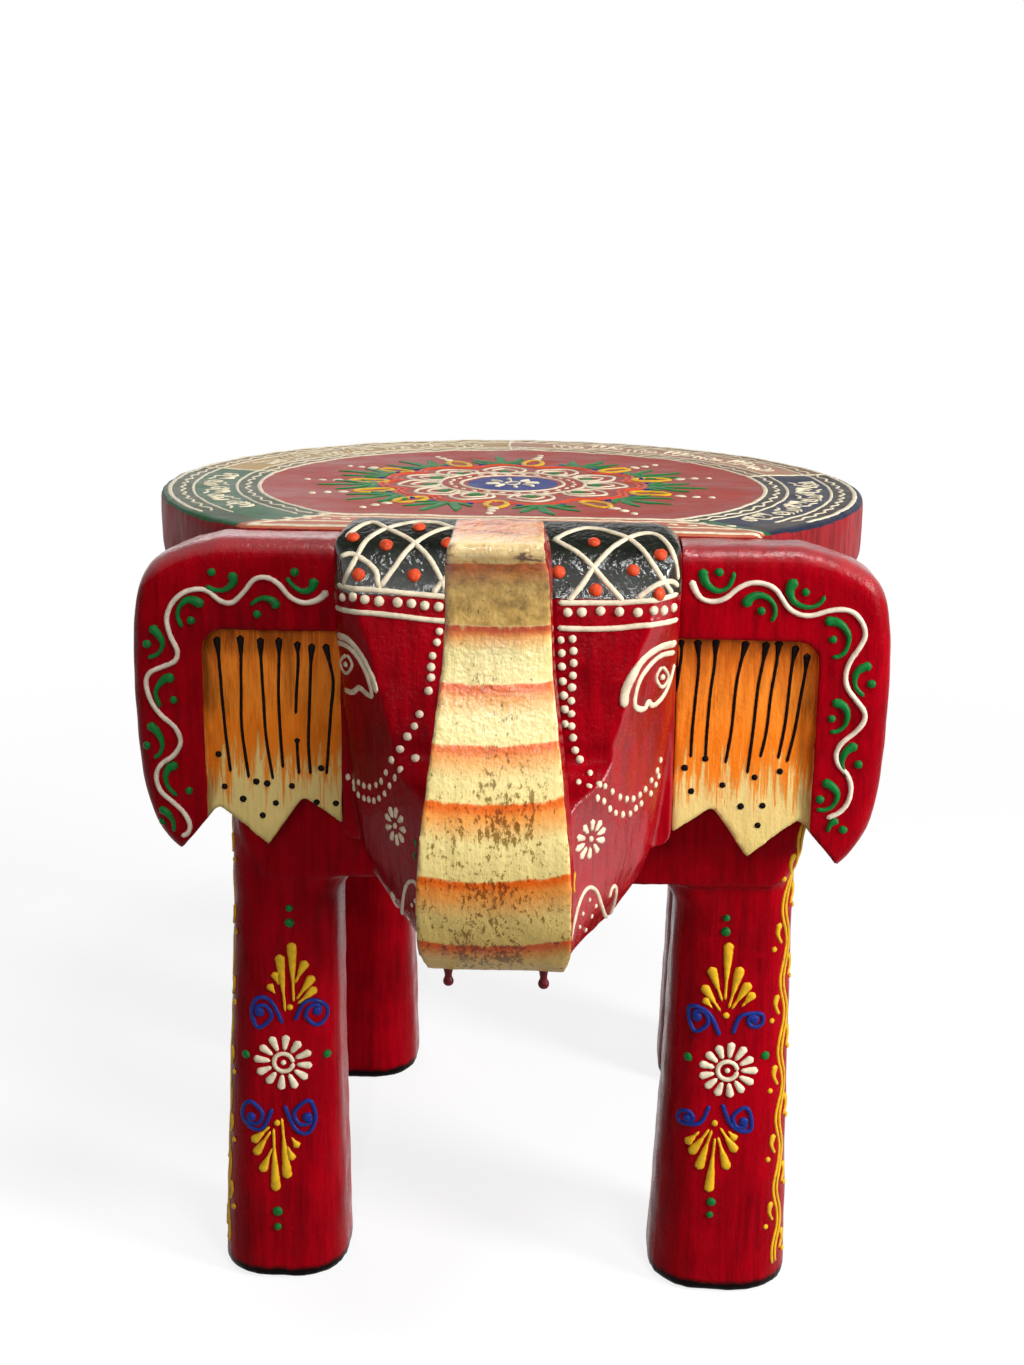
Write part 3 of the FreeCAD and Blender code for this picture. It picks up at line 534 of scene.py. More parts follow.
EYE_LIDS = (
    pairs(-471, 2221, -412, 2243, -372, 2217, -342, 2178, -323, 2142, -313, 2105),
    pairs(-474, 2182, -425, 2218, -388, 2208, -358, 2174, -339, 2139, -329, 2091, -350, 2091, -371, 2100,
        -394, 2076, -425, 2068, -458, 2078, -473, 2132),
    pairs(524, 2232, 475, 2240, 426, 2215, 396, 2174, 376, 2130, 374, 2084),
    pairs(521, 2204, 475, 2212, 434, 2181, 411, 2142, 404, 2081, 433, 2059, 442, 2082, 457, 2060, 484, 2076,
        505, 2118, 516, 2166),
)
EYE_RINGS = (
    pairs(-411, 2186, -391, 2165, -416, 2124, -437, 2146),
    pairs(480, 2173, 499, 2135, 483, 2108, 463, 2145),
)
SMALL_LEAVES = (
    pairs(-197, 1723, -190, 1715, -194, 1697),
    pairs(-194, 1685, -200, 1669, -192, 1661),
    pairs(249, 1656, 244, 1626, 247, 1592),
)
COMMA_DOTS = pairs(-818, 2388, -577, 2393, -688, 2267, -883, 2244, -1015, 2171, -942, 2003, -1028, 1861,
    -906, 1724, -993, 1621, 639, 2417, 763, 2306, 886, 2364, 971, 2227, 1088, 2098, 980, 1991, 1065, 1855,
    959, 1745, 1032, 1653)
PANEL_DOTS = pairs(-819, 1833, -803, 1734, -748, 1697, -708, 1751, -675, 1746, -650, 1686, -601, 1740, -690,
    1647, -528, 1691, -470, 1689, -513, 1797, 519, 1739, 562, 1825, 584, 1754, 622, 1854, 675, 1775, 731,
    1711, 768, 1801, 841, 1821, 795, 1715, 783, 1655)
CAP_DOMES = pairs(-391, 2520, -295, 2505, -211, 2542, -124, 2512, -365, 2432, -212, 2433, 281, 2519, 185,
    2448, 390, 2456, 465, 2494, 288, 2404, 463, 2395)
CAP_DOTS = pairs(-412, 2363, -380, 2371, -346, 2367, -306, 2363, -255, 2361, -217, 2359, -180, 2354, -141,
    2352, -109, 2351, 213, 2344, 252, 2345, 303, 2349, 354, 2348, 405, 2347, 449, 2352, 477, 2347, 505, 2348)
BROW_DOTS = pairs(-139, 2284, -145, 2254, -157, 2216, -161, 2185, -161, 2156, -167, 2119, -192, 2053, -206,
    2019, -225, 1990, -246, 1952, -270, 1917, -203, 1928, 228, 2271, 231, 2238, 232, 2205, 231, 2170, 229,
    2137, 228, 2100, 229, 2064, 230, 2029, 235, 1997, 241, 1961, 255, 1935, 196, 2267, 199, 2231, 200, 2194,
    203, 2153, 206, 2114, 210, 2076, 212, 2035)
SWAG_DOTS = pairs(-429, 1780, -405, 1781, -385, 1795, -366, 1794, -346, 1801, -323, 1819, -305, 1839, -289,
    1872, -404, 1763, -387, 1754, -367, 1754, -350, 1759, -332, 1765, -313, 1783, -294, 1807, -277, 1838,
    -260, 1869, -244, 1898, 309, 1877, 326, 1866, 347, 1841, 369, 1815, 389, 1800, 408, 1792, 427, 1796, 443,
    1806, 460, 1826, 477, 1849, 486, 1877, 306, 1840, 324, 1823, 341, 1793, 358, 1772, 379, 1757, 400, 1749,
    416, 1759, 432, 1767, 460, 1784, 474, 1805, 482, 1828, 284, 1902, 253, 1881, 282, 1875, 311, 1877)
SWIRL_DOTS = pairs(-208, 1513, -196, 1537, -184, 1562, -240, 1398, -226, 1437, -243, 1370, -228, 1358, -218,
    1338, -191, 1462, -181, 1493, 291, 1544, 309, 1510, 273, 1512, 298, 1481, 321, 1378, 265, 1474, 282,
    1442, 305, 1350)
FACE_FLOWERS = pairs(-260, 1726, 290, 1727)
EYE_DOTS = pairs(-414, 2155, 481, 2141)
LEFT_LEG = {
    "daisy": (-67.1, 76.6), "petals": 12, "base": (-64.7, 95.7), "slip": 0, "stretch": 1.1,
    "dots": pairs(-644, 1289, -644, 1240), "sides": pairs(-794, 784, -535, 787),
    "drops": pairs(-639, 1175, -635, 975, -678, 1133, -662, 942, -594, 1114, -630, 1038, -697, 1073, -680,
        1030, -715, 1032, -693, 1001, -572, 1062, -626, 984, -564, 1021, -623, 969),
    "scrolls": (
        pairs(-671, 900, -705, 972, -746, 987, -770, 945, -760, 894, -742, 885),
        pairs(-632, 911, -605, 969, -570, 980, -535, 952, -536, 914, -563, 894),
    ),
}
RIGHT_LEG = {
    "daisy": (74, 78), "petals": 13, "base": (72.9, 96.6), "slip": 3.5, "stretch": 0.98,
    "dots": pairs(718, 1291, 717, 1245), "sides": pairs(615, 817, 858, 831),
    "drops": pairs(728, 1210, 724, 1017, 675, 1128, 715, 1014, 768, 1131, 736, 990, 653, 1065, 711, 980, 798,
        1079, 745, 987, 657, 1022, 684, 991, 814, 1045, 776, 997),
    "scrolls": (
        pairs(711, 898, 680, 966, 644, 990, 613, 986, 617, 939, 636, 908),
        pairs(751, 905, 772, 963, 812, 976, 843, 971, 842, 940, 816, 930),
    ),
}


def place(obj, slot):
    """The piece rides on the stool; the slot is not used."""
    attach(obj, BODY)


def linked(name, data):
    obj = bpy.data.objects.new(name, data)
    bpy.context.scene.collection.objects.link(obj)
    return obj


def set_down(solid, mesh):
    """Writes a solid that was worked on into its mesh."""
    solid.to_mesh(mesh)
    solid.free()
    return mesh


# A hand-cut face: size of its waves, how much finer the small ones are along each axis, and their share
CUT_SIZE, FINE_CUTS, FINE_SHARE = 9 * MM, (3.1, 3.1, 0.7), 0.45


def carved_form(name, nodes, grain, material, slot, smoothing=3, settle=None):
    """Rounds CAD solids into one hand-cut form with soft edges, and hides the solids."""
    blank = bmesh.new()
    for node in nodes:
        blank.from_mesh(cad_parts[node].data)
    bmesh.ops.remove_doubles(blank, verts=blank.verts, dist=MM / 1000)
    obj = linked(name, set_down(blank, bpy.data.meshes.new(name)))
    cut = obj.modifiers.new("Cut", "REMESH")
    cut.mode = "VOXEL"
    cut.voxel_size = grain
    cut.use_smooth_shade = True
    rub = obj.modifiers.new("Rub", "SMOOTH")
    rub.factor = 0.5
    rub.iterations = smoothing
    form = bpy.data.meshes.new_from_object(obj.evaluated_get(bpy.context.evaluated_depsgraph_get()))
    obj.modifiers.clear()
    obj.data = form
    count = len(form.vertices)
    spots, outward = np.empty(count * 3, np.float32), np.empty(count * 3, np.float32)
    form.vertices.foreach_get("co", spots)
    form.vertex_normals.foreach_get("vector", outward)
    spots, outward = spots.reshape(-1, 3), outward.reshape(-1, 3)
    if settle:
        settle(spots)
    coarse, fine = spots / CUT_SIZE, spots * FINE_CUTS / CUT_SIZE
    waves = np.array([noise.noise(a) + FINE_SHARE * noise.noise(b) for a, b in zip(coarse, fine)])
    spots += outward * ((waves - 0.5) * sizes().knife_marks)[:, None]
    spots[:, 2] = np.maximum(spots[:, 2], 0.0)
    form.vertices.foreach_set("co", spots.ravel())
    form.update()
    form.materials.clear()
    form.materials.append(material)
    place(obj, slot)
    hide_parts(*nodes)


def smooth_path(points, step, closed=False):
    """Points at even steps along a smooth curve through the given ones."""
    count = len(points)
    spans = count if closed else count - 1

    def at(index):
        return Vector(points[index % count if closed else min(max(index, 0), count - 1)])

    curve = []
    for span in range(spans):
        a, b, c, d = (at(span + shift) for shift in (-1, 0, 1, 2))
        pieces = max(1, int((c - b).length / (step * 0.25)))
        for piece in range(pieces):
            t = piece / pieces
            curve.append(0.5 * (2 * b + (c - a) * t + (2 * a - 5 * b + 4 * c - d) * t ** 2
                                + (3 * b - a - 3 * c + d) * t ** 3))
    curve.append(at(spans))
    lengths = lengths_along(curve)
    marks = max(2, round(lengths[-1] / step))
    even, index = [], 0
    for mark in range(marks + 1):
        goal = lengths[-1] * mark / marks
        while index < len(lengths) - 2 and lengths[index + 1] < goal:
            index += 1
        gap = lengths[index + 1] - lengths[index]
        even.append(curve[index].lerp(curve[index + 1], (goal - lengths[index]) / gap if gap else 0.0))
    return even


def lengths_along(spots):
    """How far along a line each of its spots lies."""
    lengths = [0.0]
    for first, second in zip(spots, spots[1:]):
        lengths.append(lengths[-1] + (second - first).length)
    return lengths


def even_width(share):
    """A line of one width."""
    return 1.0


def plump_width(share):
    """A full drop, for petals."""
    return 0.3 + 0.7 * (1 - share) ** 0.75


def palm_width(share):
    """A long drop with a round head."""
    return 0.26 + 0.74 * max(0.0, 1 - share / 0.66) ** 0.8


def comma_width(share):
    """A comma: a heavy head and a long curled tail."""
    return 0.4 + 0.6 * max(0.0, 1 - share * 1.5) ** 1.3


def leaf_width(share):
    """A leaf: pointed at both ends."""
    return 0.12 + 0.88 * math.sin(math.pi * min(1.0, 0.1 + share * 0.9)) ** 0.8


def blot_width(level, swell, fall):
    """A line that starts with a small blot, wider by swell, and is even from there on."""
    return lambda share: level + swell * max(0.0, 1 - share * fall)


SLANT = math.sqrt(0.5)


def corner_look(way):
    """Toward the stool's front right corner, or its front left one where way is -1."""
    return (lambda u, v: Vector((way * (u * MM * SLANT + 1.0), u * MM * SLANT - 1.0, v * MM)),
            Vector((-way * SLANT, SLANT, 0)))


# Where a point drawn flat starts from, and the way in which it is pressed onto the wood
LOOKS = {
    "top": (lambda u, v: Vector((SEAT_CENTRE.x + u * MM, SEAT_CENTRE.y + v * MM, 1.0)), Vector((0, 0, -1))),
    "front": (lambda u, v: Vector((u * MM, -1.0, v * MM)), Vector((0, 1, 0))),
    "right_corner": corner_look(1),
    "left_corner": corner_look(-1),
}
# A stroke's section and a dot's rings: shares of the half width and of the height
SECTION = ((-1.0, -0.2), (-0.72, 0.62), (-0.3, 0.96), (0.3, 0.96), (0.72, 0.62), (1.0, -0.2))
DOT_RINGS, DOT_CORNERS = ((1.0, -0.25), (0.86, 0.45), (0.55, 0.86)), 14
# How far paint is sunk into the wood, and the least radius of a stroke's end
SINK, LEAST_END = 0.45 * MM, 0.12 * MM
# A stroke breaks off where the wood turns away from the brush, or drops by more than so many steps
STEEPEST, LONGEST_STEP = -0.02, 3.2
HAND = random.Random(11)


class Brush:
    """Lays thick paint on carved pieces: drawn flat in millimetres, pressed onto the wood along one way."""

    def __init__(self, look, *carriers, slot="crimson_paint", coat=()):
        self.start, self.way = LOOKS[look]
        self.slot, self.coat = slot, coat
        points, polygons = [], []
        for name in carriers:
            mesh = bpy.data.objects[name].data
            shift = len(points)
            points += [vertex.co.copy() for vertex in mesh.vertices]
            polygons += [[shift + corner for corner in face.vertices] for face in mesh.polygons]
        self.wood = BVHTree.FromPolygons(points, polygons)
        self.vertices, self.faces = [], []

    def press(self, point):
        spot, outward, _, _ = self.wood.ray_cast(self.start(point[0], point[1]), self.way)
        return None if spot is None or outward.dot(self.way) > STEEPEST else (spot, outward)

    def skin(self, rings):
        """Closes a row of sections into one solid stroke."""
        base, wide = len(self.vertices), len(rings[0])
        for ring in rings:
            self.vertices += ring
        for row in range(len(rings) - 1):
            for corner in range(wide):
                a, b = base + row * wide + corner, base + row * wide + (corner + 1) % wide
                self.faces.append((a, b, b + wide, a + wide))
        last = len(self.vertices) - wide
        self.faces.append(tuple(base + corner for corner in reversed(range(wide))))
        self.faces.append(tuple(last + corner for corner in range(wide)))

    def stroke(self, points, width, profile=even_width, relief=None, step=None, closed=False):
        """A raised line, laid in runs wherever it meets the wood; width, relief and step in millimetres."""
        step = step or sizes().slip_step / MM
        high = relief * MM if relief else sizes().slip_height
        runs = [[]]
        for point in smooth_path(points, step, closed):
            hit = self.press(point)
            run = runs[-1]
            if run and (not hit or (hit[0] - run[-1][0]).length > LONGEST_STEP * step * MM):
                runs.append([])
            if hit:
                runs[-1].append(hit)
        for run in runs:
            if len(run) > 1:
                self.lay(run, width * MM / 2, profile, high)

    def lay(self, run, widest, profile, relief):
        spots, outs, rings = [], [], []
        for index, hit in enumerate(run):
            near = run[max(0, index - 1):index + 2]
            wider = run[max(0, index - 2):index + 3]
            spots.append(sum((spot for spot, _ in near), Vector()) / 3 if len(near) == 3 else hit[0])
            outs.append(sum((outward for _, outward in wider), Vector()).normalized())
        lengths = lengths_along(spots)
        total = lengths[-1] or 1.0
        for index, (spot, outward, along) in enumerate(zip(spots, outs, lengths)):
            ahead = spots[min(index + 1, len(run) - 1)] - spots[max(index - 1, 0)]
            side = outward.cross(ahead).normalized()
            half = widest * profile(along / total) * HAND.uniform(0.94, 1.06)
            for reach, end in ((along, 0.0), (total - along, 1.0)):
                cap = max(widest * profile(end), LEAST_END)
                if reach < cap:
                    half = min(half, cap * math.sqrt(max(0.03, 1 - (1 - reach / cap) ** 2)))
            high = min(relief, half * 0.95)
            ring = [spot + side * (across * half) + outward * (high * up if up > 0 else up * relief)
                    for across, up in SECTION]
            rings.append(ring + [spot - outward * SINK])
        self.skin(rings)

    def dot(self, point, width, relief=None, long=1.0):
        """A raised dot, a little uneven; its width and relief in millimetres."""
        hit = self.press(point)
        if not hit:
            return
        spot, outward = hit
        side = outward.orthogonal().normalized()
        if abs(outward.z) < 0.9:
            side = outward.cross(Vector((0, 0, 1))).normalized()
        upward = side.cross(outward)
        half = width * MM / 2 * HAND.uniform(0.93, 1.07)
        high = relief * MM if relief else min(half * 0.75, sizes().slip_height * 1.5)
        lean = [HAND.uniform(0.95, 1.05) for _ in range(DOT_CORNERS)]
        base = len(self.vertices)
        for share, up in DOT_RINGS:
            for corner in range(DOT_CORNERS):
                turn = math.tau * corner / DOT_CORNERS
                flat = side * math.cos(turn) + upward * (math.sin(turn) * long)
                self.vertices.append(spot + flat * (half * share * lean[corner]) + outward * (high * up))
        top = len(self.vertices)
        self.vertices += [spot + outward * high, spot - outward * SINK]
        for corner in range(DOT_CORNERS):
            a, b = base + corner, base + (corner + 1) % DOT_CORNERS
            for _ in DOT_RINGS[1:]:
                self.faces.append((a, a + DOT_CORNERS, b + DOT_CORNERS, b))
                a, b = a + DOT_CORNERS, b + DOT_CORNERS
            self.faces.append((a, top, b))
            self.faces.append((base + corner, base + (corner + 1) % DOT_CORNERS, top + 1))

    def strokes(self, lines, width, *profile, **ways):
        for line in lines:
            self.stroke(line, width, *profile, **ways)

    def dots(self, points, width, **ways):
        for point in points:
            self.dot(point, width, **ways)

    def comma(self, width, *points):
        """A heavy dot that runs out into a curled tail."""
        self.stroke(points, width, comma_width, relief=sizes().slip_height / MM * 1.3)

    def petal(self, centre, degrees, inner, outer, width, squash=1.0):
        """A drop that lies outward from a centre, its head at the outer end."""
        turn = math.radians(degrees)
        way = Vector((math.cos(turn) * squash, math.sin(turn)))
        head, tail = Vector(centre) + way * outer, Vector(centre) + way * inner
        self.stroke([head, head.lerp(tail, 0.5), tail], width, plump_width,
                    relief=sizes().slip_height / MM * 1.2, step=0.6)

    def dry(self, name, finish, paint):
        """The strokes become one piece that rides on the stool."""
        if not self.vertices:
            raise RuntimeError("no paint reached the wood for " + name)
        mesh = bpy.data.meshes.new(name)
        mesh.from_pydata(self.vertices, [], self.faces)
        solid = bmesh.new()
        solid.from_mesh(mesh)
        bmesh.ops.recalc_face_normals(solid, faces=solid.faces)
        set_down(solid, mesh).shade_smooth()
        mesh.materials.append(enamel(finish, paint, *self.coat))
        self.vertices, self.faces = [], []
        place(linked(name, mesh), self.slot)


def seat_brush():
    return Brush("top", "seat_plank", slot="seat_paint", coat=(0.4, 0.06))


def around(radius, degrees, centre=(0.0, 0.0)):
    turn = math.radians(degrees)
    return (centre[0] + radius * math.cos(turn), centre[1] + radius * math.sin(turn))


def ring_points(radius, start, end, pitch=4.0):
    count = max(2, int(abs(end - start) / pitch))
    return [around(radius, start + (end - start) * index / count) for index in range(count + 1)]


def loop_points(middle, turn, long, wide, count):
    """Points round an oval whose long half lies along turn."""
    side = Vector((-turn.y, turn.x))
    steps = (math.tau * step / count for step in range(count))
    return [middle + turn * (math.cos(t) * long) + side * (math.sin(t) * wide) for t in steps]


class STOOL_OT_body(bpy.types.Operator):
    """Carve the body block and its four legs"""
    bl_idname = "stool.body"
    bl_label = "Carved body and legs"

    def execute(self, context):
        nodes = ["body_block", "front_left_leg", "front_right_leg", "rear_left_leg", "rear_right_leg"]
        carved_form("carved_body", nodes, sizes().body_grain, crimson_paint(), "crimson_paint")
        return {"FINISHED"}


class STOOL_OT_seat(bpy.types.Operator):
    """Carve and paint the seat plank"""
    bl_idname = "stool.seat"
    bl_label = "Seat plank"

    def execute(self, context):
        carved_form("seat_plank", ["seat_top"], sizes().body_grain, seat_paint(), "seat_paint", smoothing=2)
        return {"FINISHED"}


CAP_BEND = 16 * MM


def settle_cap(spots):
    """Bends the back of the cap down to the seat, the way it is rubbed off by hand."""
    ridge = HEAD_HIGH.y - CAP_BEND
    back = np.clip((spots[:, 1] - ridge) / (HEAD_HIGH.y - ridge), 0, 1) ** 1.5
    over = np.clip(spots[:, 2] - SEAT_HIGH.z + 0.5 * MM, 0, None)
    spots[:, 2] -= over * back * 0.9


class STOOL_OT_head(bpy.types.Operator):
    """Carve the head block"""
    bl_idname = "stool.head"
    bl_label = "Carved head"

    def execute(self, context):
        carved_form("carved_head", ["head_block"], sizes().face_grain, cap_paint(), "crimson_paint",
                    settle=settle_cap)
        return {"FINISHED"}


class STOOL_OT_ears(bpy.types.Operator):
    """Carve the two ears with their sunk panels"""
    bl_idname = "stool.ears"
    bl_label = "Carved ears"

    def execute(self, context):
        material = ear_paint()
        for node in ("right_ear", "left_ear"):
            carved_form("carved_" + node, [node], sizes().face_grain, material, "crimson_paint")
        return {"FINISHED"}


class STOOL_OT_trunk(bpy.types.Operator):
    """Carve the trunk and its two drips of paint"""
    bl_idname = "stool.trunk"
    bl_label = "Sawn trunk"

    def execute(self, context):
        carved_form("carved_trunk", ["trunk"], sizes().face_grain, trunk_paint(), "trunk_paint", smoothing=2)
        drop = enamel("drip_paint", shade(96, 10, 16))
        carved_form("paint_drips", ["trunk_drips"], sizes().face_grain / 2, drop, "crimson_paint")
        return {"FINISHED"}


class STOOL_OT_dowels(bpy.types.Operator):
    """Give the dowels their wood"""
    bl_idname = "stool.dowels"
    bl_label = "Dowels"

    def execute(self, context):
        wood = wood_paint()
        for node in ("seat_dowels", "head_dowels", "ear_dowels", "trunk_dowels"):
            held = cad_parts[node]
            held.data.materials.clear()
            held.data.materials.append(wood)
        return {"FINISHED"}


# The seat's ring, in millimetres: radius and width of its lines, radii of its waves, pitch and swing of a
# wave, the middle of its flourishes and how long a degree is there; then the depth of the band in front
RING_LINES = ((85.6, 1.6), (93.0, 1.1), (107.4, 1.1), (115.0, 1.6))
WAVE_RADII, WAVE_PITCH, WAVE_SWING = (89.4, 110.8), 4.2, 0.85
RING_MIDDLE, RING_DEGREE = 100.2, 1.75
BAND_DEPTH = 20.4


class STOOL_OT_seat_lines(bpy.types.Operator):
    """Draw the seat's cream rings, waves, dividers and front band"""
    bl_idname = "stool.seat_lines"
    bl_label = "Seat lines"

    def execute(self, context):
        brush = seat_brush()
        low, high = FRONT_LINE, FRONT_LINE - BAND_DEPTH
        for radius, width in RING_LINES:
            stop = math.degrees(math.asin(-low / radius))
            brush.stroke(ring_points(radius, -stop - 0.2, 180 + stop + 0.2), width, relief=0.22)
        for radius in WAVE_RADII:
            stop = math.degrees(math.asin(-low / radius))
            angle, swing, points = -stop + 1, -WAVE_SWING, []
            while angle < 179 + stop:
                points.append(around(radius + swing, angle))
                angle += math.degrees(WAVE_PITCH / radius) * HAND.uniform(0.85, 1.15)
                swing = -swing
            brush.stroke(points, 1.0, relief=0.2)
        for angle in RING_SPLITS:
            brush.stroke([around(86, angle), around(100, angle + 0.4), around(116, angle)], 1.5, relief=0.32)
        for near, far in ((-52, -75), (52, 80)):
            middle = ((near + far) / 2, (low + high) / 2)
            brush.stroke([(near, low), middle, (far, high - 0.2)], 1.3, relief=0.25)
        for width, relief, *line in (
            (1.9, 0.32, (-57, low), (0, low + 0.2), (60, low)),
            (1.0, 0.25, (-61, low - 4.2), (0, low - 4.0), (62, low - 4.4)),
            (1.0, 0.25, (-72, low - 13.2), (0, low - 13.2), (72, low - 13.4)),
            (1.8, 0.3, (-75, high), (0, high - 0.2), (79, high)),
        ):
            brush.stroke(line, width, relief=relief)
        for index in range(24):
            across = -66 + index * 5.8
            brush.stroke([(across, low - 8.7), (across + 3.2, low - 8.7)], 1.2, relief=0.3)
        brush.dry("seat_cream_lines", "seat_cream", colours().cream)
        return {"FINISHED"}


def ring_scroll(brush, angle, flip):
    """One flourish of the ring: a curl that runs out in a wave, and three leaves."""
    def at(along, out):
        return around(RING_MIDDLE + out * flip, angle + along / RING_DEGREE)
    curl = [at(-3.6 + 3.0 * math.cos(t) * (1 - t / 11), 0.6 + 3.4 * math.sin(t) * (1 - t / 11))
            for t in (math.pi * step / 4 for step in range(11))]
    stem = [at(6.6, -4.6), at(3.4, -2.6), at(1.2, -3.4), at(-0.4, -1.6)]
    brush.stroke(stem + curl, 1.1, relief=0.22, step=0.7)
    brush.comma(1.7, at(1.6, 4.4), at(3.4, 2.2), at(2.6, -0.4))
    brush.comma(1.7, at(4.6, 4.6), at(6.4, 1.8), at(5.6, -1.4))
    brush.comma(1.4, at(-1.8, 4.8), at(-0.2, 3.0), at(-0.4, 1.0))


class STOOL_OT_seat_scrolls(bpy.types.Operator):
    """Draw the flourishes in the seat's ring"""
    bl_idname = "stool.seat_scrolls"
    bl_label = "Ring scrolls"

    def execute(self, context):
        brush = seat_brush()
        for start, end in zip((RING_START - 1, *RING_SPLITS), (*RING_SPLITS, 225)):
            first, span = start + 8, end - start - 14
            count = max(1, round(span / 8.6))
            for index in range(count):
                ring_scroll(brush, first + span * (index + 0.2) / count, 1 if index % 2 else -1)
        brush.dry("ring_scrolls", "scroll_cream", colours().cream)
        return {"FINISHED"}


# Angles of the seat flower's petals and of the yellow loops between them, and the leaves at each
# petal: how far each leans to the side, its length and its width
PETALS = (-113, -141, -171, -199, -228, -262, -298, -332, -363, -397, -436)
LOOPS = (-94, -129, -156, -181, -211, -244, -276, -315, -344, -380, -415)
LEAVES = ((0, 20, 4.2), (34, 17, 4), (-34, 17, 4), (66, 11.5, 3.2), (-66, 11.5, 3.2))


def flower_heart(brush):
    """The cream rings, dots and petals of the flower, and the dots outside its loops."""
    for radius in (17.6, 24.8):
        brush.stroke(ring_points(radius, 0, 360, 12)[:-1], 1.5, relief=0.3, closed=True)
    for index in range(26):
        angle = index * 360 / 26
        brush.stroke([around(21.2, angle - 3.6), around(21.2, angle + 3.6)], 1.7, relief=0.3)
    for index in range(8):
        brush.petal((0, 0), index * 45 + 10, 4.0, 9.4, 2.2)
    brush.stroke([around(2.6, turn * 60) for turn in range(6)], 1.0, relief=0.3, closed=True)
    for angle in PETALS:
        turn = Vector(around(1, angle))
        side = Vector((-turn.y, turn.x))
        for out, wide, width in ((39.0, 7.4, 1.5), (34.8, 4.6, 1.1)):
            outline = [(24.6, 0.4), (26.5, 0.75), (30.0, 1.0), (35.0 / 39 * out, 0.8), (out, 0.0)]
            path = [turn * reach + side * (share * wide) for reach, share in outline]
            path += [turn * reach - side * (share * wide) for reach, share in reversed(outline[:-1])]
            brush.stroke(path, width, relief=0.3)
    for angle in LOOPS:
        reaches = (52.4, 57.0, 62.0) if angle == LOOPS[0] else (60.0, 65.3, 70.6)
        for reach, width in zip(reaches, (4.2, 3.2, 2.7)):
            brush.dot(around(reach, angle), width, relief=0.4)


class STOOL_OT_flower(bpy.types.Operator):
    """Draw the large flower in the middle of the seat"""
    bl_idname = "stool.flower"
    bl_label = "Seat flower"

    def execute(self, context):
        paints = colours()
        brush = seat_brush()
        flower_heart(brush)
        brush.dry("flower_cream_strokes", "flower_cream", paints.cream)

        for angle in PETALS:
            leaf = [around(reach, angle) for reach in (25.6, 27.6, 31.2)]
            brush.stroke(leaf, 5.6, leaf_width, relief=0.3)
            base = Vector(around(46.5, angle))
            for lean, reach, width in LEAVES:
                way = Vector(around(1, angle + lean))
                bend = Vector((-way.y, way.x)) * (1.2 if lean > 0 else -1.2)
                tip = base + way * reach
                brush.stroke([base, base.lerp(tip, 0.5) + bend, tip], width, leaf_width, relief=0.35)
        brush.dry("flower_green_leaves", "leaf_green", paints.green)

        for inner in (0.0, -2.4):
            wave = []
            for before, angle in zip(PETALS[-1:] + PETALS[:-1], PETALS):
                wave.append(around(40.6 + inner, before + (angle - before) % -360 / 2))
                for reach, aside in ((44.2, 8), (45.4, 0), (44.2, -8)):
                    wave.append(around(reach + inner, angle + aside))
            brush.stroke(wave, 1.6, relief=0.3, closed=True)
        brush.dry("flower_orange_scallops", "scallop_orange", paints.orange_red)

        for angle in LOOPS:
            inner, outer = (38.5, 51.0) if angle == LOOPS[0] else (42.8, 56.2)
            middle = Vector(around((inner + outer) / 2, angle))
            loop = loop_points(middle, Vector(around(1, angle)), (outer - inner) / 2, 3.4, 12)
            brush.stroke(loop, 2.2, relief=0.38, closed=True)
        brush.dry("flower_yellow_loops", "loop_yellow", paints.yellow)

        for angle in PETALS:
            brush.dots((around(46.4, angle - 8.5), around(46.4, angle + 8.5)), 3.0, relief=0.4)
        brush.dry("flower_blue_dots", "dot_blue", dim(paints.blue, 0.8))
        return {"FINISHED"}


class STOOL_OT_cap(bpy.types.Operator):
    """Draw the cap's lattice, domes and rows of dots"""
    bl_idname = "stool.cap"
    bl_label = "Cap ornament"

    def execute(self, context):
        brush = Brush("front", "carved_head")
        brush.strokes(CAP_LINES, 1.7, relief=0.55, step=0.7)
        brush.dots(CAP_DOTS, 2.9, relief=0.9)
        brush.dry("cap_cream_lattice", "cap_cream", colours().cream)
        brush.dots(CAP_DOMES, 4.0, relief=1.2)
        brush.dry("cap_orange_domes", "dome_orange", colours().orange_red)
        return {"FINISHED"}


class STOOL_OT_face(bpy.types.Operator):
    """Draw the face: brow dots, eyes, swags, flowers and scrolls"""
    bl_idname = "stool.face"
    bl_label = "Face ornament"

    def execute(self, context):
        brush = Brush("front", "carved_head")
        brush.dots(BROW_DOTS, 2.4, relief=0.8)
        brush.dots(SWAG_DOTS, 1.75, relief=0.6, long=1.25)
        brush.dots(SWIRL_DOTS, 1.15, relief=0.4, long=1.3)
        for centre, count, squash in zip(FACE_FLOWERS, (9, 10), (0.62, 0.74)):
            brush.dot(centre, 1.9)
            for index in range(count):
                brush.petal(centre, 84 + index * 360 / count, 2.2, 5.7, 2.7, squash)
        brush.strokes(SWIRLS, 1.35, step=0.6)
        for lid, width in zip(EYE_LIDS, (2.6, 1.9, 2.6, 1.9)):
            brush.stroke(lid, width, step=0.6)
        brush.strokes(EYE_RINGS, 1.2, step=0.5, closed=True)
        brush.dots(EYE_DOTS, 2.0, relief=0.8)
        brush.dry("face_cream_strokes", "face_cream", colours().cream)
        brush.strokes(SMALL_LEAVES[:2], 1.6, comma_width)
        brush.dry("face_green_leaves", "face_green", colours().green)
        brush.stroke(SMALL_LEAVES[2], 1.1)
        brush.dry("face_yellow_stroke", "face_yellow", colours().yellow)
        return {"FINISHED"}


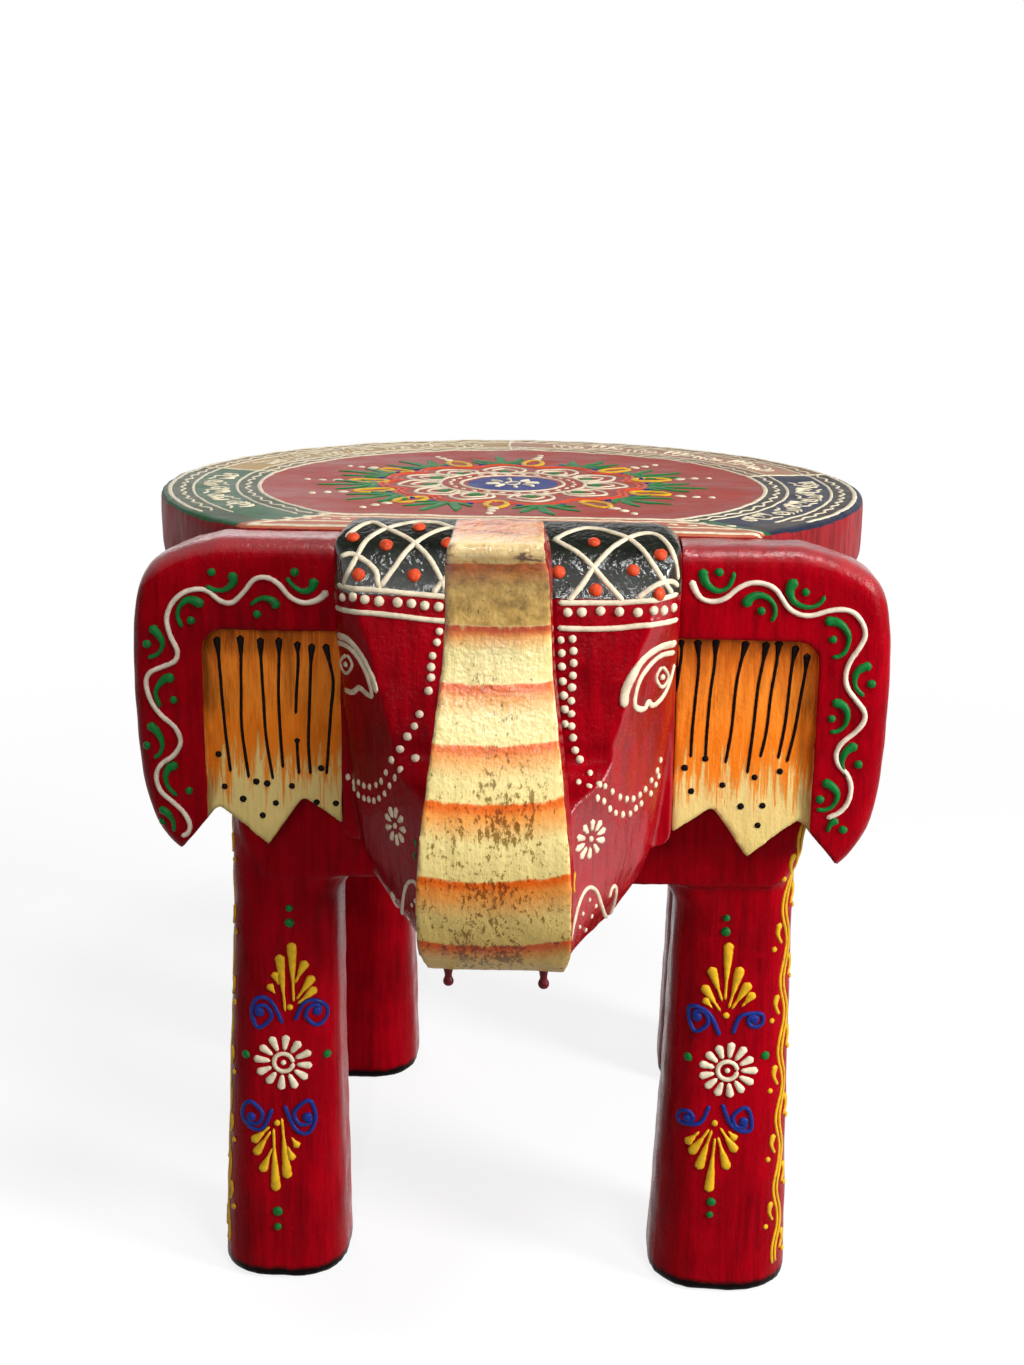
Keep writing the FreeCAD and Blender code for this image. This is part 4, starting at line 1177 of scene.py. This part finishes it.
class STOOL_OT_ear_vines(bpy.types.Operator):
    """Draw the cream waves and green commas on the ears"""
    bl_idname = "stool.ear_vines"
    bl_label = "Ear vines"

    def execute(self, context):
        brush = Brush("front", "carved_left_ear", "carved_right_ear")
        brush.strokes(EAR_WAVES, 1.65, blot_width(1.0, 0.55, 22), relief=0.7, step=0.7)
        brush.dry("ear_cream_waves", "wave_cream", shade(238, 222, 200))
        brush.strokes(EAR_COMMAS, 3.6, comma_width, relief=0.85, step=0.6)
        brush.dots(COMMA_DOTS, 2.6, relief=0.9)
        brush.dry("ear_green_commas", "comma_green", colours().green)
        return {"FINISHED"}


class STOOL_OT_ear_panels(bpy.types.Operator):
    """Draw the black strokes and dots in the ear panels"""
    bl_idname = "stool.ear_panels"
    bl_label = "Ear panel strokes"

    def execute(self, context):
        brush = Brush("front", "carved_left_ear", "carved_right_ear", coat=(0.3, 0.05))
        brush.strokes(PANEL_LINES, 2.7, blot_width(0.38, 0.62, 7), relief=0.3, step=0.7)
        brush.dots(PANEL_DOTS, 2.1, relief=0.45)
        brush.dry("panel_black_strokes", "stroke_black", colours().line_black)
        return {"FINISHED"}


def leg_motif(leg, way, paints):
    """One palmette with its scrolls, above the daisy or mirrored under it."""
    x, z = leg["daisy"]

    def at(point):
        if way > 0:
            return Vector(point)
        away = point[1] - z
        return Vector((2 * x - point[0] - leg["slip"] * (1 + away * 0.014), z - away * leg["stretch"]))

    drops = [at(point) for point in leg["drops"]]
    for head, tail in zip(drops[::2], drops[1::2]):
        paints["yellow"].stroke([head, (head + tail) / 2, tail], 3.8, palm_width, relief=0.75, step=0.7)
    paints["yellow"].dot(at(leg["base"]), 2.2, relief=0.7)
    for scroll in leg["scrolls"]:
        path = [at(point) for point in scroll]
        curl = sum(path[1:], Vector((0, 0))) / len(path[1:])
        arm, before = path[-1] - curl, path[-2] - curl
        turn = math.copysign(math.radians(65), before.x * arm.y - before.y * arm.x)
        inner = [curl + Matrix.Rotation(turn * step, 2) @ arm * (1 - step * 0.2) for step in range(1, 5)]
        paints["blue"].stroke(path + inner, 1.55, step=0.6, relief=0.6)
        paints["blue"].dot(curl, 3.4, relief=0.8)
    for spot, width in zip(leg["dots"], (2.5, 3.3)):
        paints["green"].dot(at(spot), width, relief=0.9)


class STOOL_OT_leg_flowers(bpy.types.Operator):
    """Draw the palmettes, scrolls, daisies and dots on the front legs"""
    bl_idname = "stool.leg_flowers"
    bl_label = "Leg flowers"

    def execute(self, context):
        paints = {name: Brush("front", "carved_body") for name in ("yellow", "blue", "green", "cream")}
        for leg in (LEFT_LEG, RIGHT_LEG):
            for way in (1, -1):
                leg_motif(leg, way, paints)
            paints["green"].dots(leg["sides"], 3.0, relief=0.8)
            cream, centre, count = paints["cream"], leg["daisy"], leg["petals"]
            ring = [around(3.1, turn * 36, centre) for turn in range(10)]
            cream.stroke(ring, 1.6, relief=0.6, step=0.6, closed=True)
            cream.dot(centre, 2.0, relief=0.7)
            for index in range(count):
                cream.petal(centre, 84 + index * 360 / count, 4.2, HAND.uniform(9.0, 9.8), 3.3)
        for name, brush in paints.items():
            brush.dry("leg_" + name + "_strokes", "leg_" + name, getattr(colours(), name))
        return {"FINISHED"}


# The vines, in millimetres: swing, lowest and highest point, pitch, distance of the two stems from their
# middle, reach of a leaf, and how far the right and the left vine stand out from the middle of the front
VINE_SWING, VINE_LOW, VINE_TOP, VINE_PITCH, VINE_LANE, VINE_LEAF = 1.4, 8, 162, 24, 0.9, 2.9
VINE_SHIFTS = {"right_corner": 26.0, "left_corner": 24.5}


def leg_vine(brush, shift):
    """Two stems that swing upward, with a comma and a dot at each turn."""
    for lane in (-VINE_LANE, VINE_LANE):
        stem = [(shift + (lane + VINE_SWING * math.cos(math.tau * height / VINE_PITCH)), height)
                for height in range(VINE_LOW, VINE_TOP, 3)]
        brush.stroke(stem, 1.15, relief=0.45, step=0.8)
    out = VINE_LEAF
    for height in range(VINE_LOW + 4, VINE_TOP - 6, VINE_PITCH // 2):
        leaf = [(shift + out, height + 7), (shift + out * 1.3, height + 3.6), (shift + out * 0.7, height)]
        brush.stroke(leaf, 3.0, comma_width, relief=0.6, step=0.6)
        brush.dot((shift + out * 1.7, height - 1.4), 2.0)
        out = -out


class STOOL_OT_leg_vines(bpy.types.Operator):
    """Draw the yellow vines on the outer corners of the front legs"""
    bl_idname = "stool.leg_vines"
    bl_label = "Leg vines"

    def execute(self, context):
        brush = Brush("right_corner", "carved_body")
        for look, shift in VINE_SHIFTS.items():
            brush.start, brush.way = LOOKS[look]
            leg_vine(brush, shift)
        brush.dry("leg_yellow_vines", "vine_yellow", colours().yellow)
        return {"FINISHED"}


# Name, place, aim, width, height (a round lamp has none) and power, in metres and watts
LAMPS = (
    ("key_lamp", (0.86, -0.42, 0.45), (0, 0, 0.15), 0.24, 0.5, 10.5),
    ("top_lamp", (0.22, -0.42, 1.05), (0, -0.05, 0.2), 0.2, None, 4),
    ("front_strip", (0.0, -1.15, 0.52), (0, -0.1, 0.2), 0.02, 0.5, 3.4),
    ("back_lamp", (-0.4, 1.1, 0.9), (0, 0, 0.15), 0.9, None, 3.2),
)
# The room: its own light, the floor's radius, grey and glow, and where its shadows start and end to fade
ROOM_LIGHT, FLOOR_RADIUS, FLOOR_GREY, FLOOR_GLOW, SHADOW_NEAR, SHADOW_FAR = 0.07, 4.0, 0.25, 0.83, 0.3, 0.85
# The camera as it was fitted to the photo's round seat and feet: place, turn, and lens in millimetres
EYE_PLACE, EYE_YAW, EYE_PITCH, EYE_ROLL = (0.02745, -0.5884, 0.3434), -0.0434, 0.2587, 0.0110
EYE_LENS, EYE_FILM = 48.09, 36


def lamp(name, spot, aim, width, tall, power):
    light = bpy.data.lights.new(name, "AREA")
    light.shape = "RECTANGLE" if tall else "DISK"
    light.size, light.energy = width, power
    if tall:
        light.size_y = tall
    obj = linked(name, light)
    obj.location = spot
    obj.rotation_euler = (Vector(aim) - Vector(spot)).to_track_quat("-Z", "Y").to_euler()


def shows_white(nodes):
    """1 for rays from the eye, from a gloss or through glass, so that they see a white room."""
    rays = ("Is Camera Ray", "Is Glossy Ray", "Is Transmission Ray")
    eye, gloss, glass = (nodes.add("LightPath", {}, ray) for ray in rays)
    return nodes.sum("MAXIMUM", nodes.sum("MAXIMUM", eye, gloss), glass)


def floor_finish():
    """Pale floor: it keeps the stool's shadow near it and turns white further off."""
    material = bpy.data.materials.new("studio_floor")
    material.use_nodes = True
    material.node_tree.nodes.clear()
    nodes = Nodes(material.node_tree)
    white = shows_white(nodes)
    matt = nodes.add("BsdfDiffuse", {"Color": (FLOOR_GREY, FLOOR_GREY, FLOOR_GREY)})
    near = nodes.add("AddShader", {0: matt, 1: nodes.add("Emission", {"Strength": white * FLOOR_GLOW})})
    reach = nodes.add("VectorMath", {0: nodes.add("TexCoord", {}, "Object")}, "Value", operation="LENGTH")
    fade = nodes.add("MapRange", {"Value": reach, "From Min": SHADOW_NEAR, "From Max": SHADOW_FAR},
                     interpolation_type="SMOOTHSTEP")
    far = nodes.add("Emission", {"Strength": white})
    nodes.add("OutputMaterial", {"Surface": nodes.add("MixShader", {0: fade, 1: near, 2: far})})
    return material


def studio_world():
    """A dim room that looks white in glosses."""
    world = bpy.data.worlds.new("studio")
    world.use_nodes = True
    back = world.node_tree.nodes["Background"]
    nodes = Nodes(world.node_tree)
    nodes.put(shows_white(nodes).between(0.0, 1.0, ROOM_LIGHT, 1.0), back.inputs["Strength"])
    nodes.put((1, 1, 1), back.inputs["Color"])
    return world


def eye_view():
    """The camera, set the way the photo was taken."""
    level = math.cos(EYE_PITCH)
    forward = Vector((math.sin(EYE_YAW) * level, math.cos(EYE_YAW) * level, -math.sin(EYE_PITCH)))
    right = Vector((math.cos(EYE_YAW), -math.sin(EYE_YAW), 0))
    up = right.cross(forward)
    across = right * math.cos(EYE_ROLL) + up * math.sin(EYE_ROLL)
    above = up * math.cos(EYE_ROLL) - right * math.sin(EYE_ROLL)
    camera = bpy.data.cameras.new("eye")
    camera.lens = EYE_LENS
    camera.sensor_width = EYE_FILM
    camera.clip_start = 0.01
    eye = linked("eye", camera)
    turn = Matrix((across, above, -forward)).transposed().to_4x4()
    eye.matrix_world = Matrix.Translation(EYE_PLACE) @ turn
    return eye


class STOOL_OT_stage(bpy.types.Operator):
    """Set the floor, the studio light and the camera"""
    bl_idname = "stool.stage"
    bl_label = "Stage, light and camera"

    def execute(self, context):
        scene = context.scene
        sheet = bmesh.new()
        bmesh.ops.create_circle(sheet, cap_ends=True, segments=96, radius=FLOOR_RADIUS)
        floor = linked("floor", set_down(sheet, bpy.data.meshes.new("floor")))
        floor.location.z = -0.2 * MM
        floor.data.materials.append(floor_finish())

        for values in LAMPS:
            lamp(*values)
        scene.world = studio_world()
        scene.view_settings.view_transform = "Standard"
        scene.camera = eye_view()
        return {"FINISHED"}


class STOOL_PT_panel(bpy.types.Panel):
    """The stool's sizes, colours and steps"""
    bl_idname = "STOOL_PT_panel"
    bl_label = "Carved elephant stool"
    bl_space_type = "VIEW_3D"
    bl_region_type = "UI"
    bl_category = "Stool"

    def draw(self, context):
        for group in (sizes(), colours()):
            box = self.layout.box()
            for name in group.__annotations__:
                box.prop(group, name)
        for step in STEPS:
            self.layout.operator(step.bl_idname)


STEPS = (
    STOOL_OT_body, STOOL_OT_seat, STOOL_OT_head, STOOL_OT_ears, STOOL_OT_trunk, STOOL_OT_dowels,
    STOOL_OT_seat_lines, STOOL_OT_seat_scrolls, STOOL_OT_flower, STOOL_OT_cap, STOOL_OT_face,
    STOOL_OT_ear_vines, STOOL_OT_ear_panels, STOOL_OT_leg_flowers, STOOL_OT_leg_vines, STOOL_OT_stage,
)
CLASSES = (StoolSizes, StoolColours, *STEPS, STOOL_PT_panel)


def register():
    for part in CLASSES:
        bpy.utils.register_class(part)
    bpy.types.Scene.stool_sizes = PointerProperty(type=StoolSizes)
    bpy.types.Scene.stool_colours = PointerProperty(type=StoolColours)


def unregister():
    del bpy.types.Scene.stool_sizes
    del bpy.types.Scene.stool_colours
    for part in reversed(CLASSES):
        bpy.utils.unregister_class(part)


def main():
    register()
    for step in STEPS:
        family, name = step.bl_idname.split(".")
        getattr(getattr(bpy.ops, family), name)()


if __name__ == "__main__":
    main()
